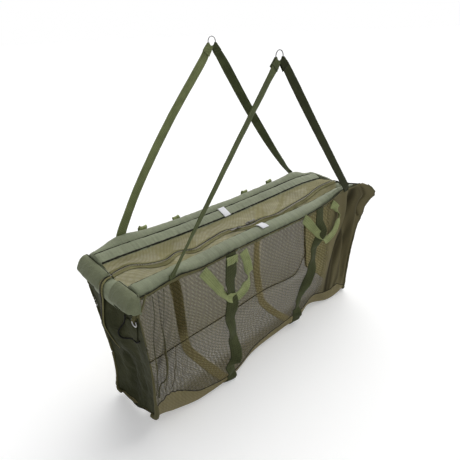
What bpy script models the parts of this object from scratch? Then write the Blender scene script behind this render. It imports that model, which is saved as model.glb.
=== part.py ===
"""Carp sack: a long mesh sack with foam floats round its mouth, a zip, handles and two weigh straps.

Metres, +Z up. X runs along the sack, -Y is the near side, and the sack stands on z = 0.
"""

import math

import bmesh
import bpy
from mathutils import Matrix, Vector

# Sack
HALF_LENGTH = 0.525  # middle to the corner seams
RIDGE_Z = 0.525  # ridge of the floats at the ends
FLOAT_SAG = 0.012  # how far the floats hang down at the middle
GAP = 0.0003  # between pieces that touch
CLOTH = 0.002  # thickness of the mesh and nylon panels
WALL_ROWS = 8  # facets down a wall, and again under half of the bottom
END_ROWS = 14

# Long floats: a section in y (outwards) and z (down from the ridge)
FLOAT_INNER_Y = 0.052
FLOAT_RIDGE_Y = 0.095
FLOAT_OUTER_Y = 0.130
FLOAT_INNER_DROP = 0.022
FLOAT_OUTER_DROP = 0.003
FLOAT_OUTER_BASE = 0.036
FLOAT_INNER_BASE = 0.050
FLOAT_ROUNDING = 0.008
FLOAT_SHORT = 0.009  # how far they stop short of the corner seams
FLOAT_HALF_LENGTH = HALF_LENGTH - FLOAT_SHORT
COVER_WALL = 0.0015
FOAM_CLEARANCE = 0.0004

# End floats, which lean out over the end panels
END_TOP_Z = RIDGE_Z - 0.012
END_REACH = 0.040  # how far they stand out past the corner seams
END_FACE_DROP = 0.030
END_BASE_DROP = 0.052
END_ROUNDING = 0.006
END_OUTER_Y = 0.131
END_SHOULDER = 0.006  # over which the end floats step out round the walls' ends

# Walls and bottom
WALL_Y = 0.120
SEAM_Y = 0.118
SEAM_Z = 0.058
FLOOR_Y = 0.085
MIDDLE_BULGE = 0.012
END_BULGE = 0.032
END_LIFT = 0.030
LIFT_LENGTH = 0.105
PLEAT_DEPTH = 0.006
PLEAT_LENGTH = 0.046
PLEAT_ROOM = 0.195  # of each wall's length, next to the corner seams
BULGE_ROOM = 0.275
END_DENT = 0.012

# Mouth: a zip between two mesh strips
MOUTH_Z = RIDGE_Z - 0.047
HINGE_INSET = 0.0032
ZIP_CROWN = 0.002  # how far the zip lies above the strips' sewn edges
ZIP_HEIGHT = MOUTH_Z + ZIP_CROWN
ZIP_Y = -0.012
ZIP_WAVE = 0.011
ZIP_WAVELENGTH = 0.29
ZIP_END_RISE = 0.018
ZIP_RISE_LENGTH = 0.105
MOUTH_CLOTH = 0.0014
MOUTH_COLUMNS = 64
TAPE_WIDTH = 0.013
TOOTH_PITCH = 0.016
TOOTH_REACH = 0.0032
TOOTH_THICKNESS = 0.0028
CHAIN_BACK = 0.0022
END_ZIP_GAP = 0.022  # half the space between the two floats of an end
LEFT_ZIP_BOTTOM = 0.20
RIGHT_ZIP_BOTTOM = RIDGE_Z - 0.125
END_TAPE_WIDTH = 0.020
CHAIN_WIDTH = 0.0056

# Sliders
SLIDER_LENGTH = 0.018
SLIDER_WIDTH = 0.011
SLIDER_THICKNESS = 0.0022
SLIDER_LIFT = 0.0004
LEFT_SLIDER_X = -0.052
RIGHT_SLIDER_X = -0.008
CROWN_WIRE = 0.0009
CROWN_HEIGHT = 0.0046
CROWN_HALF = 0.0044
PULL_LENGTH = 0.034
PULL_WIDTH = 0.008
PULL_THICKNESS = 0.0012
PULL_NECK = 0.0056
EYE_LENGTH = 0.0064
EYE_WIDTH = 0.0030

# Webbing
WEB_THICKNESS = 0.0018
BELLY_WIDTH = 0.038
BELLY_X = 0.218
BINDING_WIDTH = 0.020
BINDING_THICKNESS = 0.0012
BINDING_TOP_DROP = 0.024
HANDLE_WIDTH = 0.034
HANDLE_INNER_X = 0.149
HANDLE_OUTER_X = 0.305
HANDLE_DROP = 0.125
HANDLE_LEAN = 0.004
HANDLE_TOP_Z = RIDGE_Z - 0.045

# Weigh straps
STRAP_WIDTH = 0.030
STRAP_BASE_X = 0.4145
STRAP_HINGE_Z = RIDGE_Z - 0.0055
STRAP_STUB = 0.034
NEAR_RING_Z = RIDGE_Z + 0.491
FAR_RING_Z = RIDGE_Z + 0.527
RING_RADIUS = 0.015
RING_WIRE = 0.0014
LOOP_WIDTH = 0.009
LOOP_RADIUS = 0.0031  # inside
FOLD_BACK = 0.034
NECK_LENGTH = 0.030

# End ring and its tab
END_RING_Y = -0.113
END_RING_Z = RIDGE_Z - 0.095
END_RING_HALF = 0.0105
END_RING_WIRE = 0.0016
TAB_WIDTH = 0.014
TAB_LOOP = 0.0034
TAB_TAIL = 0.026

# Trim
CORNER_TUBE = 0.0018
PATCH_LENGTH = 0.026
PATCH_X = -0.030
PATCH_THICKNESS = 0.0008
POCKET_SIZE = 0.046
POCKET_Y = -0.080
POCKET_TOP_Z = RIDGE_Z - 0.093

SAGE = (0.21, 0.23, 0.16)
DARK_GREEN = (0.042, 0.045, 0.026)
MESH_BROWN = (0.15, 0.135, 0.10)
MESH_TAN = (0.26, 0.23, 0.15)
WEBBING = (0.075, 0.095, 0.035)
HANDLE_GREEN = (0.22, 0.28, 0.10)
TAPE_OLIVE = (0.17, 0.165, 0.055)
TOOTH_DARK = (0.09, 0.08, 0.07)
FOAM_GREY = (0.30, 0.30, 0.29)
STEEL = (0.72, 0.72, 0.72)
PALE = (0.74, 0.74, 0.77)

SIDES = {"near": -1, "far": 1}
ENDS = {"left": -1, "right": 1}


def clear_scene():
    for obj in list(bpy.data.objects):
        bpy.data.objects.remove(obj, do_unlink=True)


def collection(name):
    made = bpy.data.collections.new(name)
    bpy.context.scene.collection.children.link(made)
    return made


def material(name, color, roughness=0.8, metallic=0.0):
    mat = bpy.data.materials.new(name)
    mat.use_nodes = True
    shader = mat.node_tree.nodes["Principled BSDF"]
    shader.inputs["Base Color"].default_value = (*color, 1.0)
    shader.inputs["Roughness"].default_value = roughness
    shader.inputs["Metallic"].default_value = metallic
    return mat


def add_object(name, mesh, color, roughness=0.8, metallic=0.0, smooth=True):
    mesh.name = name
    obj = bpy.data.objects.new(name, mesh)
    PARTS.objects.link(obj)
    mesh.materials.append(material(name, color, roughness, metallic))
    if smooth:
        mesh.shade_smooth()
        mesh.set_sharp_from_angle(angle=math.radians(40))
    return obj


def set_origin(obj, point):
    """Puts the object's origin on a point, such as its joint's axis, and leaves its shape in place."""
    shift = Vector(point)
    obj.data.transform(Matrix.Translation(-shift))
    obj.location = shift


def solidify(obj, thickness):
    mod = obj.modifiers.new("thickness", "SOLIDIFY")
    mod.thickness = thickness
    mod.offset = 0.0
    mod.use_even_offset = True


def panel(name, shape, columns, rows, thickness, color, closed=False, **look):
    """A cloth panel: a grid laid on shape(u, v), with u and v from 0 to 1, and given its thickness."""
    bm = bmesh.new()
    bmesh.ops.create_grid(bm, x_segments=columns, y_segments=rows, size=0.5)
    for vert in bm.verts:
        vert.co = shape(vert.co.x + 0.5, vert.co.y + 0.5)
    if closed:
        bmesh.ops.remove_doubles(bm, verts=bm.verts, dist=1e-6)
    mesh = bpy.data.meshes.new(name)
    bm.to_mesh(mesh)
    bm.free()
    obj = add_object(name, mesh, color, **look)
    solidify(obj, thickness)
    return obj


def ribbon(name, path, across, widths, thickness, color, **look):
    """A length of webbing along a path, with a direction across it and a width for each point."""
    last = len(path) - 1

    def shape(u, v):
        i = round(v * last)
        return path[i] + across[i] * widths[i] * (u - 0.5)

    return panel(name, shape, 1, last, thickness, color, **look)


def loft(name, sections, color, **look):
    """A solid through a row of closed sections, which all have the same number of points."""
    bm = bmesh.new()
    rings = [[bm.verts.new(p) for p in section] for section in sections]
    count = len(rings[0])
    for a, b in zip(rings, rings[1:]):
        for i in range(count):
            j = (i + 1) % count
            bm.faces.new((a[i], a[j], b[j], b[i]))
    bm.faces.new(rings[0])
    bm.faces.new(rings[-1])
    bmesh.ops.recalc_face_normals(bm, faces=bm.faces)
    mesh = bpy.data.meshes.new(name)
    bm.to_mesh(mesh)
    bm.free()
    return add_object(name, mesh, color, **look)


def inset(points, distance):
    """A convex outline drawn in by a distance."""
    out = []
    count = len(points)
    middle = sum((Vector(p) for p in points), Vector((0, 0))) / count
    for i in range(count):
        a, b, c = (Vector(points[(i + k) % count]) for k in (-1, 0, 1))
        before, after = (b - a).normalized(), (c - b).normalized()
        normals = [Vector((-d.y, d.x)) for d in (before, after)]
        normals = [n if n.dot(middle - b) > 0 else -n for n in normals]
        bisector = (normals[0] + normals[1]).normalized()
        out.append(b + bisector * distance / max(0.2, bisector.dot(normals[0])))
    return out


def rounded(points, radius, steps=2):
    """A closed outline with its corners rounded."""
    out = []
    count = len(points)
    for i in range(count):
        a, b, c = (Vector(points[(i + k) % count]) for k in (-1, 0, 1))
        to_a, to_c = (a - b), (c - b)
        cut = min(radius, to_a.length * 0.45, to_c.length * 0.45)
        start, end = b + to_a.normalized() * cut, b + to_c.normalized() * cut
        for k in range(steps + 1):
            t = k / steps
            out.append(start * (1 - t) ** 2 + b * 2 * t * (1 - t) + end * t**2)
    return out


def smoothstep(t):
    t = min(1.0, max(0.0, t))
    return t * t * (3 - 2 * t)


def ridge_z(x):
    return RIDGE_Z - FLOAT_SAG * (1 - (x / HALF_LENGTH) ** 2)


def wall_top_z(x):
    slope = (FLOAT_INNER_BASE - FLOAT_OUTER_BASE) / (FLOAT_OUTER_Y - FLOAT_INNER_Y)
    under = FLOAT_OUTER_BASE + slope * (FLOAT_OUTER_Y - WALL_Y + CLOTH / 2)
    return ridge_z(x) - under - GAP


def pleat(x):
    """Upright pleats that gather the walls towards both ends and fade out at the corner seams."""
    inwards = abs(x) - (HALF_LENGTH - PLEAT_ROOM)
    if inwards <= 0 or inwards >= PLEAT_ROOM:
        return 0.0
    fade = math.sin(math.pi * inwards / PLEAT_ROOM)
    return PLEAT_DEPTH * fade * math.sin(2 * math.pi * inwards / PLEAT_LENGTH)


def side_profile(x, s):
    """The sack's cross-section at x: s from 0 to 1 goes down the wall, and on to 2 under the bottom's middle."""
    ends = smoothstep(1 - (HALF_LENGTH - abs(x)) / BULGE_ROOM)
    lift = END_LIFT * smoothstep(1 - (HALF_LENGTH - abs(x)) / LIFT_LENGTH)
    floor_z = WEB_THICKNESS + 1.5 * GAP + CLOTH / 2 + lift
    if s <= 1:
        bulge = MIDDLE_BULGE + (END_BULGE - MIDDLE_BULGE) * ends
        y = WALL_Y + (SEAM_Y - WALL_Y) * s + (bulge + pleat(x)) * math.sin(math.pi * s)
        return y, wall_top_z(x) + (SEAM_Z - wall_top_z(x)) * s
    turn = min(1.0, (s - 1) / 0.5) * math.pi / 2
    if s <= 1.5:
        y = FLOOR_Y + (SEAM_Y - FLOOR_Y) * math.cos(turn)
        return y, floor_z + (SEAM_Z - floor_z) * (1 - math.sin(turn))
    return FLOOR_Y * (2 - s) / 0.5, floor_z


def beside(x, s, offset):
    """The point of the cross-section at s, moved out of the sack by an offset."""
    y, z = side_profile(x, s)
    ahead, behind = side_profile(x, min(2.0, s + 0.01)), side_profile(x, max(0.0, s - 0.01))
    along = Vector((ahead[0] - behind[0], ahead[1] - behind[1])).normalized()
    return y - along.y * offset, z + along.x * offset


def float_outline(drawn_in):
    points = [
        (FLOAT_INNER_Y, -FLOAT_INNER_DROP),
        (FLOAT_RIDGE_Y, 0.0),
        (FLOAT_OUTER_Y, -FLOAT_OUTER_DROP),
        (FLOAT_OUTER_Y, -FLOAT_OUTER_BASE),
        (FLOAT_INNER_Y, -FLOAT_INNER_BASE),
    ]
    return rounded(inset(points, drawn_in), FLOAT_ROUNDING - drawn_in)


def make_long_float(side, sign):
    outline = float_outline(COVER_WALL / 2)
    outline.append(outline[0])
    last = len(outline) - 1

    def cover(u, v):
        x = FLOAT_HALF_LENGTH * (2 * u - 1)
        point = outline[round(v * last)]
        return Vector((x, sign * point.x, ridge_z(x) + point.y))

    panel(f"{side}_float_cover", cover, 12, last, COVER_WALL, SAGE, closed=True, roughness=0.75)
    core = float_outline(COVER_WALL + FOAM_CLEARANCE)
    stations = [FLOAT_HALF_LENGTH * (k / 4 - 1) * 0.998 for k in range(9)]
    sections = [[(x, sign * p.x, ridge_z(x) + p.y) for p in core] for x in stations]
    loft(f"{side}_float_foam", sections, FOAM_GREY, roughness=0.95)


def end_outline(drawn_in):
    """The end float's section in x (outwards from the long floats' ends) and z."""
    start = FLOAT_HALF_LENGTH + 2 * GAP
    reach = HALF_LENGTH + END_REACH
    points = [
        (start, END_TOP_Z - 0.004),
        (start + 0.012, END_TOP_Z),
        (reach, END_TOP_Z - END_FACE_DROP),
        (reach - 0.010, END_TOP_Z - END_BASE_DROP + 0.006),
        (start, END_TOP_Z - END_BASE_DROP),
    ]
    return rounded(inset(points, drawn_in), END_ROUNDING - drawn_in)


def make_end_float(end, end_sign, side, sign):
    inner = sign * END_ZIP_GAP + ZIP_Y
    shoulder = sign * (WALL_Y - CLOTH - END_SHOULDER)
    wall_side = sign * (WALL_Y - CLOTH - GAP)
    stations = [inner, (inner * 2 + shoulder) / 3, (inner + shoulder * 2) / 3, shoulder, wall_side, sign * END_OUTER_Y]
    outline = end_outline(COVER_WALL / 2)
    outline.append(outline[0])
    last = len(outline) - 1
    clear_of_wall = HALF_LENGTH - CLOTH + 2 * GAP + COVER_WALL / 2

    def cover(u, v):
        point = outline[round(v * last)]
        column = round(u * 5)
        x = max(point.x, clear_of_wall) if column > 3 else point.x
        return Vector((end_sign * x, stations[column], point.y))

    panel(f"{end}_{side}_end_cover", cover, 5, last, COVER_WALL, SAGE, closed=True, roughness=0.75)
    core = end_outline(COVER_WALL + FOAM_CLEARANCE)
    from_y, to_y = inner + sign * GAP, shoulder - sign * GAP
    sections = [[(end_sign * p.x, y, p.y) for p in core] for y in (from_y, (from_y + to_y) / 2, to_y)]
    loft(f"{end}_{side}_end_foam", sections, FOAM_GREY, roughness=0.95)


def wall_x(u):
    """Spreads a wall's columns so that the pleats near its ends get more of them."""
    t = 2 * u - 1
    return (HALF_LENGTH - CLOTH - GAP) * math.copysign(1 - (1 - abs(t)) ** 1.35, t)


def make_walls_and_bottom():
    for side, sign in SIDES.items():

        def wall(u, v, sign=sign):
            x = wall_x(u)
            y, z = side_profile(x, v)
            return Vector((x, sign * y, z))

        panel(f"{side}_wall_mesh", wall, 40, WALL_ROWS, CLOTH, MESH_BROWN, roughness=0.9)

    def bottom(u, v):
        x = wall_x(u)
        side = 2 * v - 1
        s = 1 + (1 - abs(side)) + 0.004
        y, z = side_profile(x, min(2.0, s))
        z = min(z, SEAM_Z - GAP - 0.0012)
        return Vector((x, math.copysign(y, side) if side else 0.0, z))

    panel("bottom_mesh", bottom, 20, 2 * WALL_ROWS, CLOTH, MESH_BROWN, roughness=0.9)


def end_x(y, z):
    """How far out an end panel lies: it dents in between its side seams."""
    height = (z - END_LIFT) / (END_TOP_Z - END_BASE_DROP - END_LIFT)
    dent = END_DENT * max(0.0, 1 - (y / WALL_Y) ** 2) * math.sin(math.pi * min(1, max(0, height)))
    return HALF_LENGTH - dent


def cutter_box(name, low, high):
    bm = bmesh.new()
    bmesh.ops.create_cube(bm, size=1.0)
    for vert in bm.verts:
        vert.co = Vector([low[k] + (vert.co[k] + 0.5) * (high[k] - low[k]) for k in range(3)])
    mesh = bpy.data.meshes.new(name)
    bm.to_mesh(mesh)
    bm.free()
    obj = bpy.data.objects.new(name, mesh)
    CUTTERS.objects.link(obj)
    obj.hide_render = True
    obj.display_type = "WIRE"
    return obj


def end_start():
    """Where on the cross-section the end panels begin, just under the end floats."""
    top = END_TOP_Z - END_BASE_DROP - 2 * GAP
    wall_top = wall_top_z(HALF_LENGTH)
    return (wall_top - top) / (wall_top - SEAM_Z)


def make_end_panel(end, sign, zip_bottom):
    start = end_start()

    def shape(u, v):
        y, z = side_profile(HALF_LENGTH, start + (1.5 - start) * v)
        y = (y + CLOTH / 2) * (2 * u - 1)
        return Vector((sign * end_x(y, z), y, z))

    obj = panel(f"{end}_end_panel", shape, 12, END_ROWS, CLOTH, DARK_GREEN, roughness=0.7)
    half = END_TAPE_WIDTH / 2 + GAP
    slot = cutter_box(
        f"{end}_zip_slot",
        (sign * HALF_LENGTH - 0.05, ZIP_Y - half, zip_bottom - GAP),
        (sign * HALF_LENGTH + 0.05, ZIP_Y + half, END_TOP_Z),
    )
    cut = obj.modifiers.new("zip slot", "BOOLEAN")
    cut.operation = "DIFFERENCE"
    cut.object = slot
    return obj


def end_zip_path(bottom, lift):
    """The zip's way in x and z over an end, out between its floats and down its slot in the panel."""
    top = END_TOP_Z - 0.012
    reach = HALF_LENGTH + END_REACH * 0.45
    knots = [
        (FLOAT_HALF_LENGTH + 0.003, top),
        (FLOAT_HALF_LENGTH + 0.012, top + 0.002),
        (reach - 0.004, top - 0.010),
        (reach, top - 0.022),
        (reach - 0.008, top - 0.042),
        (HALF_LENGTH + 0.001, top - 0.066),
    ]
    lowest = knots[-1][1]
    knots += [(end_x(ZIP_Y, z), z) for z in (lowest + (bottom - lowest) * k / 3 for k in (1, 2, 3))]
    knots = [Vector(k) for k in knots]
    out = []
    for i, knot in enumerate(knots):
        before = (knot - knots[i - 1]).normalized() if i else (knots[1] - knot).normalized()
        after = (knots[i + 1] - knot).normalized() if i + 1 < len(knots) else before
        bisector = Vector((-before.y - after.y, before.x + after.x)).normalized()
        out.append(knot + bisector * lift / bisector.dot(Vector((-before.y, before.x))))
    return out


def make_end_zip(end, sign, bottom):
    across = Vector((0, 1, 0))
    tape = end_zip_path(bottom, 0.0)
    chain = end_zip_path(bottom, (MOUTH_CLOTH + TOOTH_THICKNESS) / 2 + GAP)[1:]
    for name, line, width, thickness, color in (
        ("tape", tape, END_TAPE_WIDTH, MOUTH_CLOTH, TAPE_OLIVE),
        ("chain", chain, CHAIN_WIDTH, TOOTH_THICKNESS, TOOTH_DARK),
    ):
        path = [Vector((sign * p.x, ZIP_Y, p.y)) for p in line]
        ribbon(f"{end}_end_zip_{name}", path, [across] * len(path), [width] * len(path), thickness, color)


def zip_y(x):
    """The zip lies in long waves, because the strips beside it are slack."""
    fade = smoothstep((HALF_LENGTH - abs(x)) / 0.08)
    return ZIP_Y + ZIP_WAVE * fade * math.sin(2 * math.pi * (x + 0.06) / ZIP_WAVELENGTH)


def mouth_z(x, y):
    """The strips run a little up to the zip, and rise towards the end floats."""
    middle = zip_y(x)
    room = FLOAT_INNER_Y - math.copysign(middle, middle * (y - middle))
    inwards = 1 - min(1.0, abs(y - middle) / room)
    rise = ZIP_END_RISE * smoothstep(1 - (HALF_LENGTH - abs(x)) / ZIP_RISE_LENGTH)
    return MOUTH_Z + (ZIP_HEIGHT - MOUTH_Z + rise) * inwards


def hinge_y(sign):
    return sign * (FLOAT_INNER_Y - GAP - HINGE_INSET)


def comb(name, sign, length, color):
    """One side's row of zip teeth. The other side's teeth stand in its gaps, GAP away."""
    pitch = 2 * length / round(2 * length / TOOTH_PITCH)
    count = round(2 * length / pitch) - 1
    first = -length + (0.25 if sign < 0 else 0.75) * pitch
    bm = bmesh.new()

    def vertex(x, back):
        y = zip_y(x) + sign * back
        return bm.verts.new((x, y, mouth_z(x, zip_y(x)) + (TOOTH_THICKNESS - MOUTH_CLOTH) / 2))

    before = None
    for k in range(count):
        middle = first + k * pitch
        half = pitch / 4 - GAP
        stations = [middle - half, middle + half]
        backs = [vertex(x, CHAIN_BACK + TOOTH_REACH / 2) for x in stations]
        roots = [vertex(x, TOOTH_REACH / 2 + GAP) for x in stations]
        tips = [vertex(x, -TOOTH_REACH / 2) for x in (middle - half * 0.8, middle + half * 0.8)]
        bm.faces.new((backs[0], backs[1], roots[1], roots[0]))
        bm.faces.new((roots[0], roots[1], tips[1], tips[0]))
        if before:
            bm.faces.new((before[0], backs[0], roots[0], before[1]))
        before = (backs[1], roots[1])
    bmesh.ops.recalc_face_normals(bm, faces=bm.faces)
    mesh = bpy.data.meshes.new(name)
    bm.to_mesh(mesh)
    bm.free()
    obj = add_object(name, mesh, color, roughness=0.5, smooth=False)
    solidify(obj, TOOTH_THICKNESS)
    return obj


def make_mouth(side, sign):
    """One half of the mouth, which turns up about the line where it is sewn to its float."""
    length = FLOAT_HALF_LENGTH - 2 * GAP
    outer = sign * (FLOAT_INNER_Y - GAP)
    chain = CHAIN_BACK + TOOTH_REACH / 2 + 2 * GAP
    axis = (0, hinge_y(sign), MOUTH_Z)

    def strip(u, v):
        x = length * (2 * u - 1)
        inner = zip_y(x) + sign * (chain + TAPE_WIDTH + GAP)
        y = outer + (inner - outer) * v
        return Vector((x, y, mouth_z(x, y)))

    def tape(u, v):
        x = length * (2 * u - 1)
        y = zip_y(x) + sign * (chain + TAPE_WIDTH * (1 - v))
        return Vector((x, y, mouth_z(x, y)))

    mesh = panel(f"{side}_top_mesh", strip, MOUTH_COLUMNS, 3, MOUTH_CLOTH, MESH_TAN, roughness=0.9)
    band = panel(f"{side}_zip_tape", tape, MOUTH_COLUMNS, 1, MOUTH_CLOTH, TAPE_OLIVE)
    teeth = comb(f"{side}_zip_teeth", sign, length - 0.004, TOOTH_DARK)
    for obj in (mesh, band, teeth):
        set_origin(obj, axis)


def curve_mesh(name, points, radius, resolution, cyclic=False):
    """A round wire through points, as a closed mesh."""
    data = bpy.data.curves.new(name, "CURVE")
    data.dimensions = "3D"
    data.bevel_depth = radius
    data.bevel_resolution = resolution
    data.use_fill_caps = not cyclic
    spline = data.splines.new("POLY")
    spline.points.add(len(points) - 1)
    for point, place in zip(spline.points, points):
        point.co = (*place, 1.0)
    spline.use_cyclic_u = cyclic
    holder = bpy.data.objects.new(name, data)
    bpy.context.scene.collection.objects.link(holder)
    graph = bpy.context.evaluated_depsgraph_get()
    mesh = bpy.data.meshes.new_from_object(holder.evaluated_get(graph))
    bpy.data.objects.remove(holder, do_unlink=True)
    bm = bmesh.new()
    bm.from_mesh(mesh)
    bmesh.ops.remove_doubles(bm, verts=bm.verts, dist=1e-6)
    bmesh.ops.recalc_face_normals(bm, faces=bm.faces)
    bm.to_mesh(mesh)
    bm.free()
    mesh.materials.clear()
    return mesh


def slider_base_z():
    return ZIP_HEIGHT - MOUTH_CLOTH / 2 + TOOTH_THICKNESS + SLIDER_LIFT


def make_slider(name, x, toward):
    """A slider's upper plate with its crown, and the pull tab that hangs on the crown."""
    base = slider_base_z()
    bm = bmesh.new()
    bmesh.ops.create_cube(bm, size=1.0)
    for vert in bm.verts:
        nose = 0.72 if vert.co.x * toward > 0 else 1.0
        vert.co = Vector(
            (vert.co.x * SLIDER_LENGTH, vert.co.y * SLIDER_WIDTH * nose, vert.co.z * SLIDER_THICKNESS)
        )
    bmesh.ops.bevel(bm, geom=bm.edges[:], offset=0.0007, segments=2, profile=0.5, affect="EDGES")
    plate = bpy.data.meshes.new(name)
    bm.to_mesh(plate)
    bm.free()
    body = add_object(name, plate, STEEL, roughness=0.3, metallic=1.0)
    body.location = (x, ZIP_Y, base + SLIDER_THICKNESS / 2)
    top = SLIDER_THICKNESS / 2
    arch = [
        (-CROWN_HALF, 0, top - 0.0006),
        (-CROWN_HALF, 0, top + CROWN_HEIGHT * 0.6),
        (-CROWN_HALF * 0.6, 0, top + CROWN_HEIGHT),
        (CROWN_HALF * 0.6, 0, top + CROWN_HEIGHT),
        (CROWN_HALF, 0, top + CROWN_HEIGHT * 0.6),
        (CROWN_HALF, 0, top - 0.0006),
    ]
    crown = bpy.data.objects.new(f"{name}_crown", curve_mesh(f"{name}_crown", arch, CROWN_WIRE, 1))
    CUTTERS.objects.link(crown)
    crown.location = body.location
    crown.hide_render = True
    crown.display_type = "WIRE"
    join = body.modifiers.new("crown", "BOOLEAN")
    join.operation = "UNION"
    join.object = crown

    pull_name = name.replace("slider", "pull_tab")
    outline = bpy.data.curves.new(pull_name, "CURVE")
    outline.dimensions = "2D"
    outline.fill_mode = "BOTH"
    outline.extrude = PULL_THICKNESS / 2
    back, eye_end = -PULL_THICKNESS / 2, PULL_THICKNESS / 2 + EYE_LENGTH
    neck, wide, eye = PULL_NECK / 2, PULL_WIDTH / 2, EYE_WIDTH / 2
    half = [(back, -neck), (eye_end + 0.001, -neck), (eye_end + 0.004, -wide), (PULL_LENGTH, -wide)]
    tab = rounded(half + [(x, -y) for x, y in reversed(half)], 0.0025, 3)
    hole = [(-back, -eye), (eye_end, -eye), (eye_end, eye), (-back, eye)]
    for ring in (tab, hole):
        spline = outline.splines.new("POLY")
        spline.points.add(len(ring) - 1)
        for point, corner in zip(spline.points, ring):
            point.co = (corner[0], corner[1], 0.0, 1.0)
        spline.use_cyclic_u = True
    holder = bpy.data.objects.new(pull_name, outline)
    bpy.context.scene.collection.objects.link(holder)
    graph = bpy.context.evaluated_depsgraph_get()
    mesh = bpy.data.meshes.new_from_object(holder.evaluated_get(graph))
    bpy.data.objects.remove(holder, do_unlink=True)
    bm = bmesh.new()
    bm.from_mesh(mesh)
    bmesh.ops.remove_doubles(bm, verts=bm.verts, dist=1e-6)
    bmesh.ops.recalc_face_normals(bm, faces=bm.faces)
    bm.to_mesh(mesh)
    bm.free()
    mesh.materials.clear()
    pull = add_object(pull_name, mesh, STEEL, roughness=0.35, metallic=1.0)
    pull.location = pull_axis(x, toward)
    pull.rotation_euler = (0, 0, 0 if toward > 0 else math.pi)


def pull_axis(x, toward):
    """The middle of the pull tab's end bar, which lies under the crown, beside one of its uprights."""
    inside = CROWN_HALF - CROWN_WIRE - PULL_THICKNESS / 2 - 2 * GAP
    return Vector((x + toward * inside, ZIP_Y, slider_base_z() + SLIDER_THICKNESS + PULL_THICKNESS / 2 + GAP))


def make_belly_strap(end, end_sign):
    """One webbing strap down the near wall, under the sack and up the far wall."""
    offset = CLOTH / 2 + GAP + WEB_THICKNESS / 2
    x = end_sign * BELLY_X
    half = []
    for k in range(2 * WALL_ROWS + 1):
        half.append(Vector((x, *beside(x, k / WALL_ROWS, offset))))
    half[0].z -= 0.001
    lowest = WEB_THICKNESS / 2
    for point in half:
        point.z = max(point.z, lowest)
    path = [Vector((p.x, -p.y, p.z)) for p in half] + half[-2::-1]
    across = [Vector((1, 0, 0))] * len(path)
    ribbon(f"{end}_belly_strap", path, across, [BELLY_WIDTH] * len(path), WEB_THICKNESS, WEBBING)


def binding_y(sign):
    return sign * (FLOAT_OUTER_Y + GAP + BINDING_THICKNESS / 2)


def make_binding(side, sign):
    """The band that is sewn along the float's lower outer edge, and carries straps and handles."""

    def shape(u, v):
        x = FLOAT_HALF_LENGTH * (2 * u - 1)
        return Vector((x, binding_y(sign), ridge_z(x) - BINDING_TOP_DROP - BINDING_WIDTH * v))

    panel(f"{side}_edge_binding", shape, 12, 1, BINDING_THICKNESS, TAPE_OLIVE)


def outside_y(sign):
    """The plane in which webbing lies against the outside of the binding."""
    return binding_y(sign) + sign * (BINDING_THICKNESS / 2 + GAP + WEB_THICKNESS / 2)


def make_handle(end, end_sign, side, sign):
    """A grab handle: a loop of webbing that hangs from the edge of its float."""
    name = f"{side}_{end}_handle"
    middle = end_sign * (HANDLE_INNER_X + HANDLE_OUTER_X) / 2
    half = (HANDLE_OUTER_X - HANDLE_INNER_X) / 2
    axis = Vector((middle, outside_y(sign), HANDLE_TOP_Z))
    steps = 16
    path, across, widths = [], [], []
    for k in range(steps + 1):
        turn = math.pi * k / steps
        drop = HANDLE_DROP * math.sin(turn) ** 0.9
        spread = half * math.cos(turn) * (1 - 0.25 * math.sin(turn))
        lean = sign * HANDLE_LEAN * drop / HANDLE_DROP
        path.append(axis + Vector((spread, lean, -drop)))
    for k in range(steps + 1):
        along = (path[min(steps, k + 1)] - path[max(0, k - 1)]).normalized()
        flat = Vector((-along.z, 0, along.x)).normalized()
        end_fade = smoothstep(min(k, steps - k) / 3)
        level = Vector((1 if flat.x > 0 else -1, 0, 0))
        flat = (level * (1 - end_fade) + flat * end_fade).normalized()
        across.append(flat)
        widths.append(HANDLE_WIDTH * (1 - 0.35 * math.sin(math.pi * k / steps)))
    obj = ribbon(name, path, across, widths, WEB_THICKNESS, HANDLE_GREEN)
    set_origin(obj, axis)


def strap_y(sign):
    return outside_y(sign) + sign * (WEB_THICKNESS + GAP)


def ring_height(side):
    return NEAR_RING_Z if side == "near" else FAR_RING_Z


def leg_frame(side, sign, end_sign):
    """A weigh strap leg's foot, the unit vector along it, and the point of the ring that it holds."""
    foot = Vector((end_sign * STRAP_BASE_X, strap_y(sign), STRAP_HINGE_Z))
    ring = Vector((0, strap_y(sign), ring_height(side)))
    along = (ring - foot).normalized()
    return foot, along, ring - along * RING_RADIUS


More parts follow.
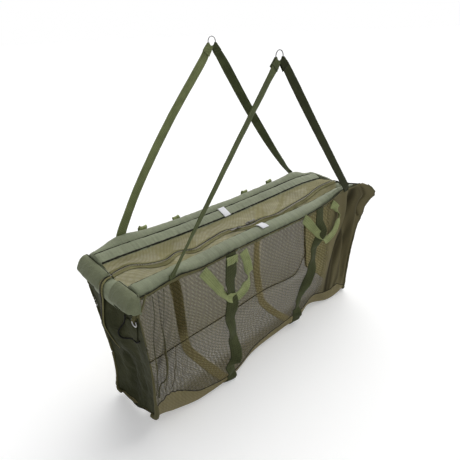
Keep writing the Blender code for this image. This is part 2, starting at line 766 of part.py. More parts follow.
def make_weigh_strap(side, sign):
    for end, end_sign in ENDS.items():
        foot, along, held = leg_frame(side, sign, end_sign)
        inwards = Vector((0, -sign, 0))
        flat = Vector((-along.z, 0, along.x)) * end_sign
        reach = (held - foot).length
        neck = reach - NECK_LENGTH
        radius = LOOP_RADIUS + WEB_THICKNESS / 2
        path = [foot + Vector((0, 0, GAP)), foot + along * 0.02]
        widths = [STRAP_WIDTH / abs(along.z), STRAP_WIDTH]
        across = [Vector((-end_sign, 0, 0)), flat]

        def add(point, width):
            path.append(point)
            widths.append(width)
            across.append(flat)

        for distance in (reach * 0.5, neck, neck + NECK_LENGTH * 0.5, reach - 2 * radius):
            narrow = smoothstep((distance - neck) / (NECK_LENGTH - 2 * radius))
            add(foot + along * distance, STRAP_WIDTH + (LOOP_WIDTH - STRAP_WIDTH) * narrow)
        for k in range(10):
            angle = math.radians(200 - 220 * k / 9)
            add(held + (along * math.sin(angle) + inwards * math.cos(angle)) * radius, LOOP_WIDTH)
        beside_leg = WEB_THICKNESS + 2 * GAP
        for distance in (2 * radius, FOLD_BACK * 0.6, FOLD_BACK):
            wide = smoothstep((distance - 2 * radius) / (FOLD_BACK - 2 * radius))
            add(held - along * distance + inwards * beside_leg, LOOP_WIDTH + (STRAP_WIDTH * 0.85 - LOOP_WIDTH) * wide)
        obj = ribbon(f"{side}_{end}_strap_leg", path, across, widths, WEB_THICKNESS, WEBBING)
        set_origin(obj, (0, strap_y(sign), STRAP_HINGE_Z))
        make_strap_foot(side, sign, end, end_sign)
    make_weigh_ring(side, sign)


def make_strap_foot(side, sign, end, end_sign):
    """The sewn foot of a weigh strap, on the outer face of its float."""
    x = end_sign * STRAP_BASE_X
    top = STRAP_HINGE_Z - GAP
    width = STRAP_WIDTH / abs(leg_frame(side, sign, end_sign)[1].z)
    path = [Vector((x, outside_y(sign), top - STRAP_STUB * k / 2)) for k in range(3)]
    across = [Vector((1, 0, 0))] * 3
    ribbon(f"{side}_{end}_strap_foot", path, across, [width] * 3, WEB_THICKNESS, WEBBING)


def make_weigh_ring(side, sign):
    drop = RING_RADIUS * leg_frame(side, sign, 1)[1].z
    centre = Vector((0, strap_y(sign), ring_height(side)))
    bpy.ops.mesh.primitive_torus_add(
        major_segments=28,
        minor_segments=8,
        major_radius=RING_RADIUS,
        minor_radius=RING_WIRE,
        rotation=(math.pi / 2, 0, 0),
    )
    made = bpy.context.object
    mesh = made.data
    mesh.transform(made.matrix_world)
    bpy.data.objects.remove(made, do_unlink=True)
    ring = add_object(f"{side}_weigh_ring", mesh, STEEL, roughness=0.25, metallic=1.0)
    mesh.transform(Matrix.Translation((0, 0, drop)))
    ring.location = centre - Vector((0, 0, drop))


def end_ring_x():
    return -(HALF_LENGTH + CLOTH / 2 + GAP + WEB_THICKNESS + TAB_LOOP + 0.001)


def make_end_ring():
    """The small D ring at the near left corner, and the webbing tab that holds its straight bar."""
    axis = Vector((end_ring_x(), END_RING_Y, END_RING_Z))
    half = END_RING_HALF
    outline = [(-half, 0.0), (half, 0.0)]
    outline += [(half * math.cos(a), -0.008 - half * math.sin(a)) for a in (math.pi * k / 10 for k in range(11))]
    points = [(0.0, y, z) for y, z in outline]
    mesh = curve_mesh("end_ring", points, END_RING_WIRE, 1, cyclic=True)
    ring = add_object("end_ring", mesh, STEEL, roughness=0.25, metallic=1.0)
    ring.location = axis
    radius = TAB_LOOP
    path = [Vector((-(HALF_LENGTH + CLOTH / 2 + GAP + WEB_THICKNESS / 2), END_RING_Y, END_RING_Z + TAB_TAIL))]
    path.append(path[0] - Vector((0, 0, TAB_TAIL - radius)))
    for k in range(9):
        angle = math.radians(20 - 220 * k / 8)
        path.append(axis + Vector((math.cos(angle) * radius, 0, math.sin(angle) * radius)))
    path[-1].x = axis.x - radius
    outer = path[0].x - WEB_THICKNESS - GAP
    path += [Vector((outer, END_RING_Y, END_RING_Z + d)) for d in (radius * 2.4, TAB_TAIL * 0.7)]
    across = [Vector((0, 1, 0))] * len(path)
    ribbon("end_ring_tab", path, across, [TAB_WIDTH] * len(path), WEB_THICKNESS, TAPE_OLIVE)


def make_pocket():
    """The square of doubled nylon behind the end ring."""

    def shape(u, v):
        y = POCKET_Y - POCKET_SIZE / 2 + POCKET_SIZE * u * 0.42
        z = POCKET_TOP_Z - POCKET_SIZE * v
        out = end_x(y, z) + (CLOTH + PATCH_THICKNESS) / 2 + 2 * GAP
        return Vector((-out, y, z))

    panel("left_end_patch", shape, 4, 4, PATCH_THICKNESS, DARK_GREEN)


def make_label_patch(side, sign):
    """A bare pale patch over the float's inner slope and ridge."""
    lift = GAP + PATCH_THICKNESS / 2
    slope = Vector((FLOAT_RIDGE_Y - FLOAT_INNER_Y, FLOAT_INNER_DROP)).normalized()
    normal = Vector((-slope.y, slope.x))
    flat = Vector((FLOAT_OUTER_Y - FLOAT_RIDGE_Y, -FLOAT_OUTER_DROP)).normalized()
    flat_normal = Vector((-flat.y, flat.x))
    inner = Vector((FLOAT_INNER_Y, -FLOAT_INNER_DROP)) + slope * FLOAT_ROUNDING
    ridge = Vector((FLOAT_RIDGE_Y, 0.0))
    line = [
        inner + normal * lift,
        ridge - slope * FLOAT_ROUNDING + normal * lift,
        ridge + (normal + flat_normal) / 2 * lift,
        ridge + flat * FLOAT_ROUNDING + flat_normal * lift,
        ridge + flat * FLOAT_ROUNDING * 1.8 + flat_normal * lift,
    ]
    base = ridge_z(PATCH_X) + FLOAT_SAG * 0.01
    path = [Vector((PATCH_X, sign * p.x, base + p.y)) for p in line]
    across = [Vector((1, 0, 0))] * len(path)
    ribbon(f"{side}_label_patch", path, across, [PATCH_LENGTH] * len(path), PATCH_THICKNESS, PALE)


def make_corner_bindings():
    lift = CLOTH / 2 + CORNER_TUBE + GAP
    for end, end_sign in ENDS.items():
        for side, sign in SIDES.items():
            points = []
            for k in range(1, END_ROWS):
                y, z = beside(HALF_LENGTH, end_start() + (1.5 - end_start()) * k / END_ROWS, lift)
                points.append((end_sign * HALF_LENGTH, sign * y, z))
            mesh = curve_mesh(f"{end}_{side}_corner_binding", points, CORNER_TUBE, 1)
            add_object(f"{end}_{side}_corner_binding", mesh, TAPE_OLIVE)


clear_scene()
PARTS = collection("carp_sack")
CUTTERS = collection("cutters")

for side_name, side_sign in SIDES.items():
    make_long_float(side_name, side_sign)
    make_binding(side_name, side_sign)
    make_mouth(side_name, side_sign)
    make_label_patch(side_name, side_sign)
    make_weigh_strap(side_name, side_sign)
    for end_name, end_direction in ENDS.items():
        make_end_float(end_name, end_direction, side_name, side_sign)
        make_handle(end_name, end_direction, side_name, side_sign)

make_walls_and_bottom()
make_corner_bindings()
make_end_panel("left", -1, LEFT_ZIP_BOTTOM)
make_end_panel("right", 1, RIGHT_ZIP_BOTTOM)
make_end_zip("left", -1, LEFT_ZIP_BOTTOM)
make_end_zip("right", 1, RIGHT_ZIP_BOTTOM)
make_belly_strap("left", -1)
make_belly_strap("right", 1)
make_slider("left_slider", LEFT_SLIDER_X, -1)
make_slider("right_slider", RIGHT_SLIDER_X, 1)
make_end_ring()
make_pocket()
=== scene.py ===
import math
from functools import partial

import bmesh
import bpy
from mathutils import Matrix, Vector, noise


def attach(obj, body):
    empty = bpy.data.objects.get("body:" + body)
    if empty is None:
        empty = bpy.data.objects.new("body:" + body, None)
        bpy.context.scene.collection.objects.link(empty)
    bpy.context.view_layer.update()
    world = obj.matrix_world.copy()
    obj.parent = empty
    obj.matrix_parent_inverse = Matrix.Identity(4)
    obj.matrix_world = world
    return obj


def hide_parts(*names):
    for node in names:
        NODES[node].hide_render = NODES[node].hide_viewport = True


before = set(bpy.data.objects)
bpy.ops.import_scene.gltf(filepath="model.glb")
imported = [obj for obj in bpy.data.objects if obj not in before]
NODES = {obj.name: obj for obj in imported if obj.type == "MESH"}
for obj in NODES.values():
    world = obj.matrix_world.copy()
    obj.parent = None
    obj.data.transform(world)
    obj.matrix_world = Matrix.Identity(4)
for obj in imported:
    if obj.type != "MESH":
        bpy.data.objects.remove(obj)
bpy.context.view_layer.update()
SIGN = {"near": -1.0, "far": 1.0, "left": -1.0, "right": 1.0}


# Node trees


def shade(color, k):
    return tuple(min(1.0, c * k) for c in color)


class Tree:
    """A node tree and short ways to add its nodes."""

    def __init__(self, owner):
        owner.use_nodes = True
        self.nodes = owner.node_tree.nodes
        self.links = owner.node_tree.links

    def put(self, socket, value):
        """Sets a socket to a number or colour, or links another node's output to it."""
        if isinstance(value, bpy.types.NodeSocket):
            self.links.new(value, socket)
        elif socket.type == "RGBA":
            socket.default_value = (*value, 1.0)
        else:
            socket.default_value = value

    def add(self, kind, inputs=None, **settings):
        node = self.nodes.new(f"ShaderNode{kind}")
        for name, value in settings.items():
            setattr(node, name, value)
        for name, value in (inputs or {}).items():
            self.put(node.inputs[name], value)
        return node

    def math(self, operation, *values, clamp=False):
        return self.add("Math", dict(enumerate(values)), operation=operation, use_clamp=clamp).outputs[0]

    def share(self, value, none, full):
        """0 where a value is at none, 1 where it is at full, and smooth between."""
        ends = {"Value": value, "From Min": none, "From Max": full}
        return self.add("MapRange", ends, interpolation_type="SMOOTHSTEP").outputs[0]

    def direct_view(self):
        """1 for rays that show the backdrop itself: straight, mirrored or passed through."""
        rays = self.add("LightPath").outputs
        seen = self.math("MAXIMUM", rays["Is Camera Ray"], rays["Is Glossy Ray"])
        return self.math("MAXIMUM", seen, rays["Is Transmission Ray"])


class Shader(Tree):
    """A Principled material, whose textures are scaled in metres."""

    def __init__(self, name, color, roughness, specular, metallic=0.0):
        self.mat = bpy.data.materials.new(name)
        super().__init__(self.mat)
        self.main = self.nodes["Principled BSDF"]
        self.to("Base Color", color)
        self.to("Roughness", roughness)
        self.to("Specular IOR Level", specular)
        self.to("Metallic", metallic)
        self.place = self.add("TexCoord").outputs

    def to(self, name, value):
        self.put(self.main.inputs[name], value)

    def space(self, kind, scale=(1.0, 1.0, 1.0)):
        """Coordinates: kind is UV (across and along a strip) or Object."""
        return self.add("Mapping", {"Vector": self.place[kind], "Scale": scale}).outputs[0]

    def turned(self, vector, degrees):
        turn = (0.0, 0.0, math.radians(degrees))
        return self.add("Mapping", {"Vector": vector, "Rotation": turn}).outputs[0]

    def noise(self, vector, scale, detail=3.0, rough=0.55, distortion=0.0):
        inputs = {"Vector": vector, "Scale": scale, "Detail": detail, "Roughness": rough}
        return self.add("TexNoise", {**inputs, "Distortion": distortion}).outputs["Fac"]

    def wave(self, vector, scale, distortion, detail, direction="X", detail_scale=1.0):
        inputs = {"Vector": vector, "Scale": scale, "Distortion": distortion, "Detail": detail}
        inputs["Detail Scale"] = detail_scale
        return self.add("TexWave", inputs, bands_direction=direction).outputs["Fac"]

    def ramp(self, value, *stops):
        """Colours that follow a value, given as places from 0 to 1 and their colours."""
        node = self.add("ValToRGB", {"Fac": value})
        band = node.color_ramp.elements
        while len(band) < len(stops):
            band.new(0.5)
        for element, (at, color) in zip(band, stops):
            element.position = at
            element.color = (*color, 1.0)
        return node.outputs["Color"]

    def tones(self, value, color, dark, light, start=0.3, end=0.7):
        """A colour from dark to light times itself as a value goes from start to end."""
        return self.ramp(value, (start, shade(color, dark)), (end, shade(color, light)))

    def mix(self, share, a, b):
        return self.add("Mix", {0: share, 6: a, 7: b}, data_type="RGBA").outputs[2]

    def mark(self, name):
        """An attribute of the mesh's points."""
        return self.add("Attribute", attribute_name=name).outputs["Fac"]

    def bump(self, height, strength, distance):
        node = self.add("Bump", {"Height": height, "Strength": strength, "Distance": distance})
        self.to("Normal", node.outputs[0])


# Camera, light and stage

SENSOR = 36.0
FRAME_SIDE = 460.0
FOCAL_PIXELS = 397.91
YAW, PITCH, ROLL = 0.74407, 0.47072, -0.04216
CAMERA_PLACE = Vector((-0.89001, -0.87848, 1.08846))
WHITE = (1.0, 1.0, 1.0)
WORLD_LIGHT = 0.34
FLOOR_REACH = 60.0
FLOOR_Z = -0.0015
# The floor's own brightness to the camera, and the painted pool of light it has under the sack
FLOOR_GLOW = 0.299
UNDER_GLOW = 0.529


def place_object(name, data):
    obj = bpy.data.objects.new(name, data)
    bpy.context.scene.collection.objects.link(obj)
    return obj


def make_camera():
    ahead = Vector((math.sin(YAW) * math.cos(PITCH), math.cos(YAW) * math.cos(PITCH), -math.sin(PITCH)))
    level = Vector((math.cos(YAW), -math.sin(YAW), 0.0))
    above = level.cross(ahead)
    right = level * math.cos(ROLL) + above * math.sin(ROLL)
    up = above * math.cos(ROLL) - level * math.sin(ROLL)
    data = bpy.data.cameras.new("camera")
    data.sensor_width = SENSOR
    data.lens = FOCAL_PIXELS * SENSOR / FRAME_SIDE
    data.clip_start = 0.02
    camera = place_object("camera", data)
    turn = Matrix((right, up, -ahead)).transposed().to_4x4()
    camera.matrix_world = Matrix.Translation(CAMERA_PLACE) @ turn
    bpy.context.scene.camera = camera


def soft_sun(name, toward, strength, spread, color):
    """A wide soft light that shines along a direction."""
    data = bpy.data.lights.new(name, "SUN")
    data.energy = strength
    data.angle = math.radians(spread)
    data.color = color
    lamp = place_object(name, data)
    lamp.location = (0.0, 0.0, 3.0)
    lamp.rotation_euler = Vector(toward).to_track_quat("-Z", "Y").to_euler()


def make_world():
    world = bpy.data.worlds.new("world")
    bpy.context.scene.world = world
    tree = Tree(world)
    tree.nodes.clear()
    soft = tree.add("Background", {"Color": (0.97, 0.98, 1.0), "Strength": WORLD_LIGHT})
    white = tree.add("Background", {"Color": WHITE, "Strength": 1.0})
    mix = tree.add("MixShader", {0: tree.direct_view(), 1: soft.outputs[0], 2: white.outputs[0]})
    tree.add("OutputWorld", {0: mix.outputs[0]})


def make_floor():
    """A pale floor that shows near white and keeps the shadow, with a painted pool of light under the sack.
    """
    mesh = bpy.data.meshes.new("floor")
    corners = [(-1, -1), (1, -1), (1, 1), (-1, 1)]
    mesh.from_pydata([(x * FLOOR_REACH, y * FLOOR_REACH, FLOOR_Z) for x, y in corners], [], [(0, 1, 2, 3)])
    floor = place_object("floor", mesh)
    mat = bpy.data.materials.new("floor")
    tree = Tree(mat)
    tree.nodes.clear()
    place = tree.add("SeparateXYZ", {0: tree.add("TexCoord").outputs["Object"]}).outputs
    # Painted light: for the camera the floor glows brighter in a pool under the sack
    under = tree.share(tree.math("ABSOLUTE", place["X"]), 0.54, 0.48)
    under = tree.math("MULTIPLY", under, tree.share(place["Y"], 0.122, 0.086))
    under = tree.math("MULTIPLY", under, tree.share(place["Y"], -0.06, -0.01))
    strength = tree.math("MULTIPLY_ADD", under, UNDER_GLOW, FLOOR_GLOW)
    strength = tree.math("MULTIPLY", strength, tree.direct_view())
    glow = tree.add("Emission", {"Color": WHITE, "Strength": strength})
    diffuse = tree.add("BsdfDiffuse", {"Color": (0.78, 0.78, 0.78)})
    both = tree.add("AddShader", {0: diffuse.outputs[0], 1: glow.outputs[0]})
    tree.add("OutputMaterial", {0: both.outputs[0]})
    mesh.materials.append(mat)


# Materials


def nylon(name, color, dark, light, roughness=0.62, wrinkle=0.45, gloss=0.25, streak=0.0):
    """Plain-woven nylon: blotchy tone, a fine weave and soft creases."""
    s = Shader(name, color, roughness, gloss)
    where = s.space("Object")
    blotch = s.noise(where, 9.0, 4.0, 0.6, 0.4)
    tone = s.ramp(blotch, (0.3, dark), (0.5, color), (0.72, light))
    tone = s.mix(0.35, tone, s.tones(s.noise(where, 420.0, 2.0, 0.5), color, 0.72, 1.28))
    if streak:
        lines = s.noise(s.space("UV", (0.06, 1.0, 1.0)), 130.0, 3.0, 0.65)
        stops = (0.36, shade(color, 0.55)), (0.5, color), (0.66, shade(color, 1.35))
        tone = s.mix(streak, tone, s.ramp(lines, *stops))
    s.to("Base Color", tone)
    crease = s.noise(s.space("Object", (1.0, 1.6, 1.3)), 34.0, 3.0, 0.55, 1.2)
    weave = s.wave(where, 260.0, 0.6, 1.0, "DIAGONAL")
    s.bump(s.math("MULTIPLY_ADD", weave, 0.06, crease), wrinkle, 0.004)
    s.to("Roughness", s.math("MULTIPLY_ADD", blotch, 0.22, roughness - 0.11))
    return s.mat


def netting(name, thread, shadow, glint, cover, holes, slope, layers=None):
    """Fine soft mesh: dark threads with open holes, whose rows show as short curved dashes.

    The mark fold closes the net where it lies in folds and paints shade on it there. A second mark
    paints a glow on it, an emission that stands in for light shining through it.
    """
    s = Shader(name, thread, 0.8, 0.15)
    flat = s.space("UV")
    warp = {0: s.noise(flat, 5.0, 1.0, 0.4), 1: (0.07, 0.13, 0.0), 2: flat}
    drift = s.add("VectorMath", warp, operation="MULTIPLY_ADD").outputs[0]
    rows = s.wave(s.turned(drift, slope), 36.0, 1.6, 1.0, "Y", 14.0)
    breaks = s.wave(s.turned(drift, slope + 27.0), 21.0, 2.6, 1.0, "X", 18.0)
    knit = s.noise(flat, 700.0, 1.0, 0.5)
    dashes = s.math("MULTIPLY", rows, s.math("MULTIPLY_ADD", breaks, 0.7, 0.3))
    weave = s.math("MULTIPLY_ADD", dashes, 0.75, s.math("MULTIPLY", knit, 0.35))
    # Painted shade and painted highlights: the threads run from the shadow colour to the glint colour along
    # the dashes
    tone = s.ramp(weave, (0.12, shadow), (0.45, thread), (0.85, glint))
    tone = s.mix(0.45, tone, s.tones(s.noise(flat, 8.0, 3.0, 0.6), thread, 0.75, 1.25))
    opening = s.math("MULTIPLY", s.math("SUBTRACT", 0.42, dashes), holes)
    if layers:
        # Towards one end the cloth lies in layers, browner and closer
        start, end, layered, closed_cover = layers
        share = s.share(s.add("SeparateXYZ", {0: flat}).outputs["X"], start, end)
        tone = s.mix(share, tone, s.tones(knit, layered, 0.85, 1.15))
        opening = s.math("MULTIPLY", opening, s.math("SUBTRACT", 1.0, share))
        cover = s.math("MULTIPLY_ADD", share, closed_cover - cover, cover)
    # Painted shade in folds, and a painted glow (emission) where light would show through the net
    fold = s.mark("fold")
    s.to("Base Color", s.mix(fold, tone, shade(shadow, 0.5)))
    alpha = s.math("ADD", cover, opening, clamp=True)
    s.to("Alpha", s.math("MULTIPLY_ADD", fold, 0.34, alpha, clamp=True))
    s.to("Emission Color", (1.0, 0.86, 0.48))
    s.to("Emission Strength", s.math("MULTIPLY", s.mark("painted_glow"), 0.15))
    s.bump(weave, 0.2, 0.0012)
    return s.mat


def webbing(name, color, dark, light, width=0.03):
    """Woven strap: fine cross ribs, two lengthwise tracks near its edges, and a rubbed tone."""
    s = Shader(name, color, 0.7, 0.1)
    cross = s.wave(s.space("UV", (0.35, 1.0, 1.0)), 105.0, 0.8, 1.0, "DIAGONAL")
    tracks = s.wave(s.space("UV", (1.0, 0.0, 0.0)), 1.5 / width, 0.0, 0.0)
    rub = s.noise(s.space("UV"), 26.0, 4.0, 0.6, 0.5)
    tone = s.ramp(rub, (0.28, dark), (0.52, color), (0.78, light))
    tone = s.mix(0.3, tone, s.tones(cross, color, 0.55, 1.35, 0.2, 0.8))
    s.to("Base Color", s.mix(0.22, tone, s.tones(tracks, color, 0.6, 1.15, 0.1, 0.6)))
    s.bump(s.math("MULTIPLY_ADD", cross, 0.6, s.math("MULTIPLY", tracks, 0.5)), 0.5, 0.0009)
    s.to("Roughness", s.math("MULTIPLY_ADD", rub, 0.2, 0.6))
    return s.mat


def glow_lining(name, color, glow):
    """Thin coated cloth with a painted glow: an emission that stands in for the light behind it showing
    through.
    """
    s = Shader(name, color, 0.7, 0.1)
    where = s.space("Object")
    blotch = s.noise(where, 14.0, 4.0, 0.6, 0.4)
    tone = s.tones(blotch, color, 0.8, 1.15)
    s.to("Base Color", s.mix(0.3, tone, s.tones(s.noise(where, 420.0, 2.0, 0.5), color, 0.75, 1.2)))
    s.to("Emission Color", tone)
    s.to("Emission Strength", glow)
    s.bump(blotch, 0.4, 0.003)
    return s.mat


def metal(name, color, roughness):
    """Metal, duller and darker in places from handling."""
    s = Shader(name, color, roughness, 0.5, 1.0)
    where = s.space("Object")
    smear = s.noise(where, 160.0, 4.0, 0.6)
    s.to("Base Color", s.tones(smear, color, 0.72, 1.0))
    s.to("Roughness", s.math("MULTIPLY_ADD", smear, 0.25, roughness - 0.1))
    s.bump(s.noise(where, 900.0, 2.0), 0.1, 0.0003)
    return s.mat


def plain(name, color, roughness, grain=300.0, bump=0.3):
    """Small dull pieces, such as thread, cord and zip teeth: blotchy and grainy."""
    s = Shader(name, color, roughness, 0.15)
    where = s.space("Object")
    grains = s.noise(where, grain)
    tone = s.tones(s.noise(where, 18.0), color, 0.78, 1.2)
    s.to("Base Color", s.mix(0.3, tone, s.tones(grains, color, 0.6, 1.35)))
    s.bump(grains, bump, 0.0006)
    return s.mat


SAGE = (0.185, 0.205, 0.13)
# The near wall's layered cloth: where it starts and is full along the wall, its colour and cover
LAYERS = (0.75, 0.83, (0.152, 0.132, 0.067), 0.9)
# Nylon and netting take a middle, a dark and a light colour; netting's dark and light ones are painted shade
# and painted highlights on its threads
MATS = {
    "cover": nylon("cover_nylon", SAGE, shade(SAGE, 0.8), shade(SAGE, 1.2), streak=0.26),
    # The pads' nylon is the cover's sage painted darker: painted shade
    "pad": nylon("pad_shaded_nylon", (0.142, 0.156, 0.09), (0.105, 0.116, 0.066), (0.182, 0.2, 0.116), wrinkle=0.8),
    "end": nylon("end_nylon", (0.035, 0.037, 0.017), (0.016, 0.017, 0.007), (0.066, 0.068, 0.035),
                 0.64, 0.9, 0.05),
    # The walls and bottom are one netting; the far wall's and the bottom's threads are painted lighter,
    # painted light for the inside of the sack
    "wall": netting("wall_mesh", (0.088, 0.072, 0.023), (0.048, 0.039, 0.013), (0.15, 0.124, 0.046),
                    0.395, 0.32, -40.0, LAYERS),
    "floor_net_lit": netting("floor_mesh_lit", (0.28, 0.24, 0.118), (0.17, 0.146, 0.072), (0.4, 0.345, 0.19),
                         0.8, 0.2, -40.0),
    "far_wall_lit": netting("far_wall_mesh", (0.355, 0.306, 0.135), (0.225, 0.193, 0.086), (0.48, 0.42, 0.21),
                        0.85, 0.1, -62.0),
    "top": netting("top_mesh", (0.32, 0.297, 0.156), (0.18, 0.166, 0.088), (0.48, 0.45, 0.29),
                   0.68, 0.22, 35.0),
    # Painted light: a pale glowing sheet inside the right end
    "glow_lining": glow_lining("end_glow_lining", (0.3, 0.27, 0.14), 0.5),
    "pleat": plain("pleat_net", (0.085, 0.08, 0.036), 0.85),
    "tape": webbing("tape_weave", (0.165, 0.155, 0.07), (0.1, 0.094, 0.04), (0.235, 0.222, 0.11), 0.013),
    "binding": webbing("binding_weave", (0.125, 0.115, 0.052), (0.07, 0.063, 0.028), (0.205, 0.19, 0.09),
                       0.012),
    "teeth": plain("zip_teeth", (0.014, 0.013, 0.01), 0.6),
    # The near comb's paler teeth are a painted highlight along the zip
    "teeth_highlight": plain("zip_teeth_highlight", (0.36, 0.34, 0.22), 0.5),
    "thread": plain("seam_thread", (0.016, 0.016, 0.01), 0.8),
    "cord": plain("piping_cord", (0.005, 0.005, 0.004), 0.8),
    "patch": plain("pale_cloth", (0.72, 0.72, 0.75), 0.7, 500.0, 0.2),
    "steel": metal("ring_steel", (0.17, 0.17, 0.18), 0.36),
    "bright": metal("bright_steel", (0.6, 0.6, 0.61), 0.3),
    "zip_metal": metal("zip_metal", (0.115, 0.11, 0.095), 0.5),
}
# Webbings: their middle, dark and light colour, and their width where it isn't 30 mm. The legs are one
# webbing in lit and shaded copies: painted light and shade
WEBBINGS = {
    "belly": ((0.06, 0.068, 0.029), (0.031, 0.036, 0.015), (0.106, 0.12, 0.052), 0.038),
    "leg": ((0.18, 0.206, 0.09), (0.096, 0.111, 0.048), (0.26, 0.292, 0.135)),
    "leg_part_shaded": ((0.088, 0.104, 0.045), (0.046, 0.054, 0.023), (0.145, 0.166, 0.076)),
    "leg_more_shaded": ((0.052, 0.061, 0.025), (0.024, 0.028, 0.011), (0.098, 0.114, 0.048)),
    "leg_most_shaded": ((0.028, 0.0315, 0.0115), (0.015, 0.017, 0.006), (0.053, 0.059, 0.022)),
    "handle": ((0.265, 0.3, 0.132), (0.125, 0.145, 0.061), (0.4, 0.45, 0.21), 0.034),
}
for webbing_name, webbing_look in WEBBINGS.items():
    MATS[webbing_name] = webbing(f"{webbing_name}_webbing", *webbing_look)


# Curves and meshes

ALONG_X = [(0.0, 1, 0, 0), (1.0, 1, 0, 0)]
ALONG_Y = [(0.0, 0, 1, 0), (1.0, 0, 1, 0)]


def lerp(a, b, t):
    return a + (b - a) * t


def metres(rows):
    """Rows of millimetres in metres."""
    return [tuple(c / 1000 for c in row) for row in rows]


def steps(start, end, count):
    """Even steps from start to end."""
    return [lerp(start, end, k / (count - 1)) for k in range(count)]


def arch(t):
    """0 at 0 and 1, and 1 halfway between."""
    return math.sin(math.pi * t)


def smooth(t):
    """0 up to 0, 1 from 1 on, and an even rise between."""
    t = min(1.0, max(0.0, t))
    return t * t * (3 - 2 * t)


def hump(x, middle, width):
    """1 at the middle, and next to nothing two widths away."""
    return math.exp(-((x - middle) / width) ** 2)


def ripple(x, length, phase, power=1.0):
    """A wave from -1 to 1, with blunter crests where power is under 1."""
    height = math.sin(x * 2 * math.pi / length + phase)
    return math.copysign(abs(height) ** power, height)


def rough(p, size, seed=0.0):
    """Smooth noise from -1 to 1 with features of about a size."""
    return noise.noise(Vector((p[0] / size + seed, p[1] / size + seed * 1.7, p[2] / size - seed)))


def curve_at(points, t):
    """A smooth curve through rows of numbers, with t from 0 to 1 along them."""
    last = len(points) - 1
    place = min(max(t, 0.0), 1.0) * last
    i = min(int(place), last - 1)
    f = place - i
    p1, p2 = points[i], points[i + 1]
    p0 = points[i - 1] if i > 0 else [2 * a - b for a, b in zip(p1, p2)]
    p3 = points[i + 2] if i + 2 <= last else [2 * b - a for a, b in zip(p1, p2)]
    out = []
    for a, b, c, d in zip(p0, p1, p2, p3):
        square, cube = 2 * a - 5 * b + 4 * c - d, 3 * b - a - 3 * c + d
        out.append(0.5 * (2 * b + (c - a) * f + square * f * f + cube * f**3))
    return out


def value_at(keys, x):
    """A smooth value at x from a table of (x, value, ...) rows."""
    if x <= keys[0][0]:
        return list(keys[0][1:])
    for k, (a, b) in enumerate(zip(keys, keys[1:])):
        if x <= b[0]:
            f = (x - a[0]) / (b[0] - a[0])
            return curve_at([row[1:] for row in keys], (k + f) / (len(keys) - 1))
    return list(keys[-1][1:])


def even(points, count):
    """Points at even steps along a smooth curve."""
    fine = [Vector(curve_at(points, k / 200.0)[:3]) for k in range(201)]
    run = [0.0]
    for a, b in zip(fine, fine[1:]):
        run.append(run[-1] + (b - a).length)
    out, k = [], 0
    for i in range(count):
        want = run[-1] * i / (count - 1)
        while k < 199 and run[k + 1] < want:
            k += 1
        span = run[k + 1] - run[k] or 1.0
        out.append(fine[k].lerp(fine[k + 1], (want - run[k]) / span))
    return out


def add_mesh(name, mesh, look):
    """A piece from a mesh. Its look is its material, body and slot; the slot is not used."""
    obj = place_object(name, mesh)
    mat, body, slot = look
    mesh.materials.append(MATS[mat])
    mesh.shade_smooth()
    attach(obj, body)
    return obj


def add_bmesh(name, bm, look):
    mesh = bpy.data.meshes.new(name)
    bm.to_mesh(mesh)
    bm.free()
    return add_mesh(name, mesh, look)


def cap_ends(mesh, wide, rows):
    """Closes a tube-like grid at both ends with a small puckered cap."""
    bm = bmesh.new()
    bm.from_mesh(mesh)
    bm.verts.ensure_lookup_table()
    rings = [(start, [bm.verts[start + i] for i in range(wide)]) for start in (0, (rows - 1) * wide)]
    for start, ring in rings:
        middle = bm.verts.new(sum((v.co for v in ring), Vector()) / wide)
        for a, b in zip(ring, ring[1:] + ring[:1]):
            bm.faces.new((a, b, middle) if start else (b, a, middle))
    bmesh.ops.recalc_face_normals(bm, faces=bm.faces)
    bm.to_mesh(mesh)
    bm.free()
    mesh.shade_smooth()


def surface(name, shape, grid, size, look, closed=False, flip=False, thick=0.0, marks=None):
    """A grid of columns and rows on shape(u, v), with UVs in metres.

    size is its width along u and its length along v. A closed one joins round u and gets caps.
    marks gives the netting's attributes from 0 to 1, each a function of u and v.
    """
    columns, rows = grid
    wide = columns if closed else columns + 1
    places = [(i / columns, j / rows) for j in range(rows + 1) for i in range(wide)]
    faces, coords = [], []
    for j in range(rows):
        for i in range(columns):
            k = (i + 1) % wide
            quad = [j * wide + i, j * wide + k, (j + 1) * wide + k, (j + 1) * wide + i]
            uv = [(i, j), (i + 1, j), (i + 1, j + 1), (i, j + 1)]
            if flip:
                quad.reverse()
                uv.reverse()
            faces.append(quad)
            coords += [(a / columns * size[0], b / rows * size[1]) for a, b in uv]
    mesh = bpy.data.meshes.new(name)
    mesh.from_pydata([Vector(shape(u, v)) for u, v in places], [], faces)
    layer = mesh.uv_layers.new(name="metres")
    for loop, uv in zip(layer.data, coords):
        loop.uv = uv
    for mark, amount in (marks or {}).items():
        layer = mesh.attributes.new(mark, "FLOAT", "POINT")
        layer.data.foreach_set("value", [amount(u, v) for u, v in places])
    obj = add_mesh(name, mesh, look)
    if closed:
        cap_ends(mesh, columns, rows + 1)
    if thick:
        solid = obj.modifiers.new("thickness", "SOLIDIFY")
        solid.thickness = thick
        solid.offset = 0.0
    return obj


def strap(name, points, width, look, across, count=40, thick=0.0016, curl=0.0, wobble=0.0):
    """Webbing along smooth points. across gives the direction over its width at places from 0 to 1."""
    line = even(points, count)
    total = sum((b - a).length for a, b in zip(line, line[1:]))
    first = width[0][1] if isinstance(width, list) else width

    def shape(u, v):
        i = round(v * (count - 1))
        along = (line[min(count - 1, i + 1)] - line[max(0, i - 1)]).normalized()
        side = Vector(value_at(across, v))
        side = (side - along * side.dot(along)).normalized()
        wide = value_at(width, v)[0] if isinstance(width, list) else width
        t = 2 * u - 1
        lift = curl * (t * t - 0.4) + wobble * rough(line[i], 0.05, 3.1) * (0.4 + 0.6 * t * t)
        return line[i] + side * wide * 0.5 * t + along.cross(side) * lift

    return surface(name, shape, (6, count - 1), (first, total), look, thick=thick)


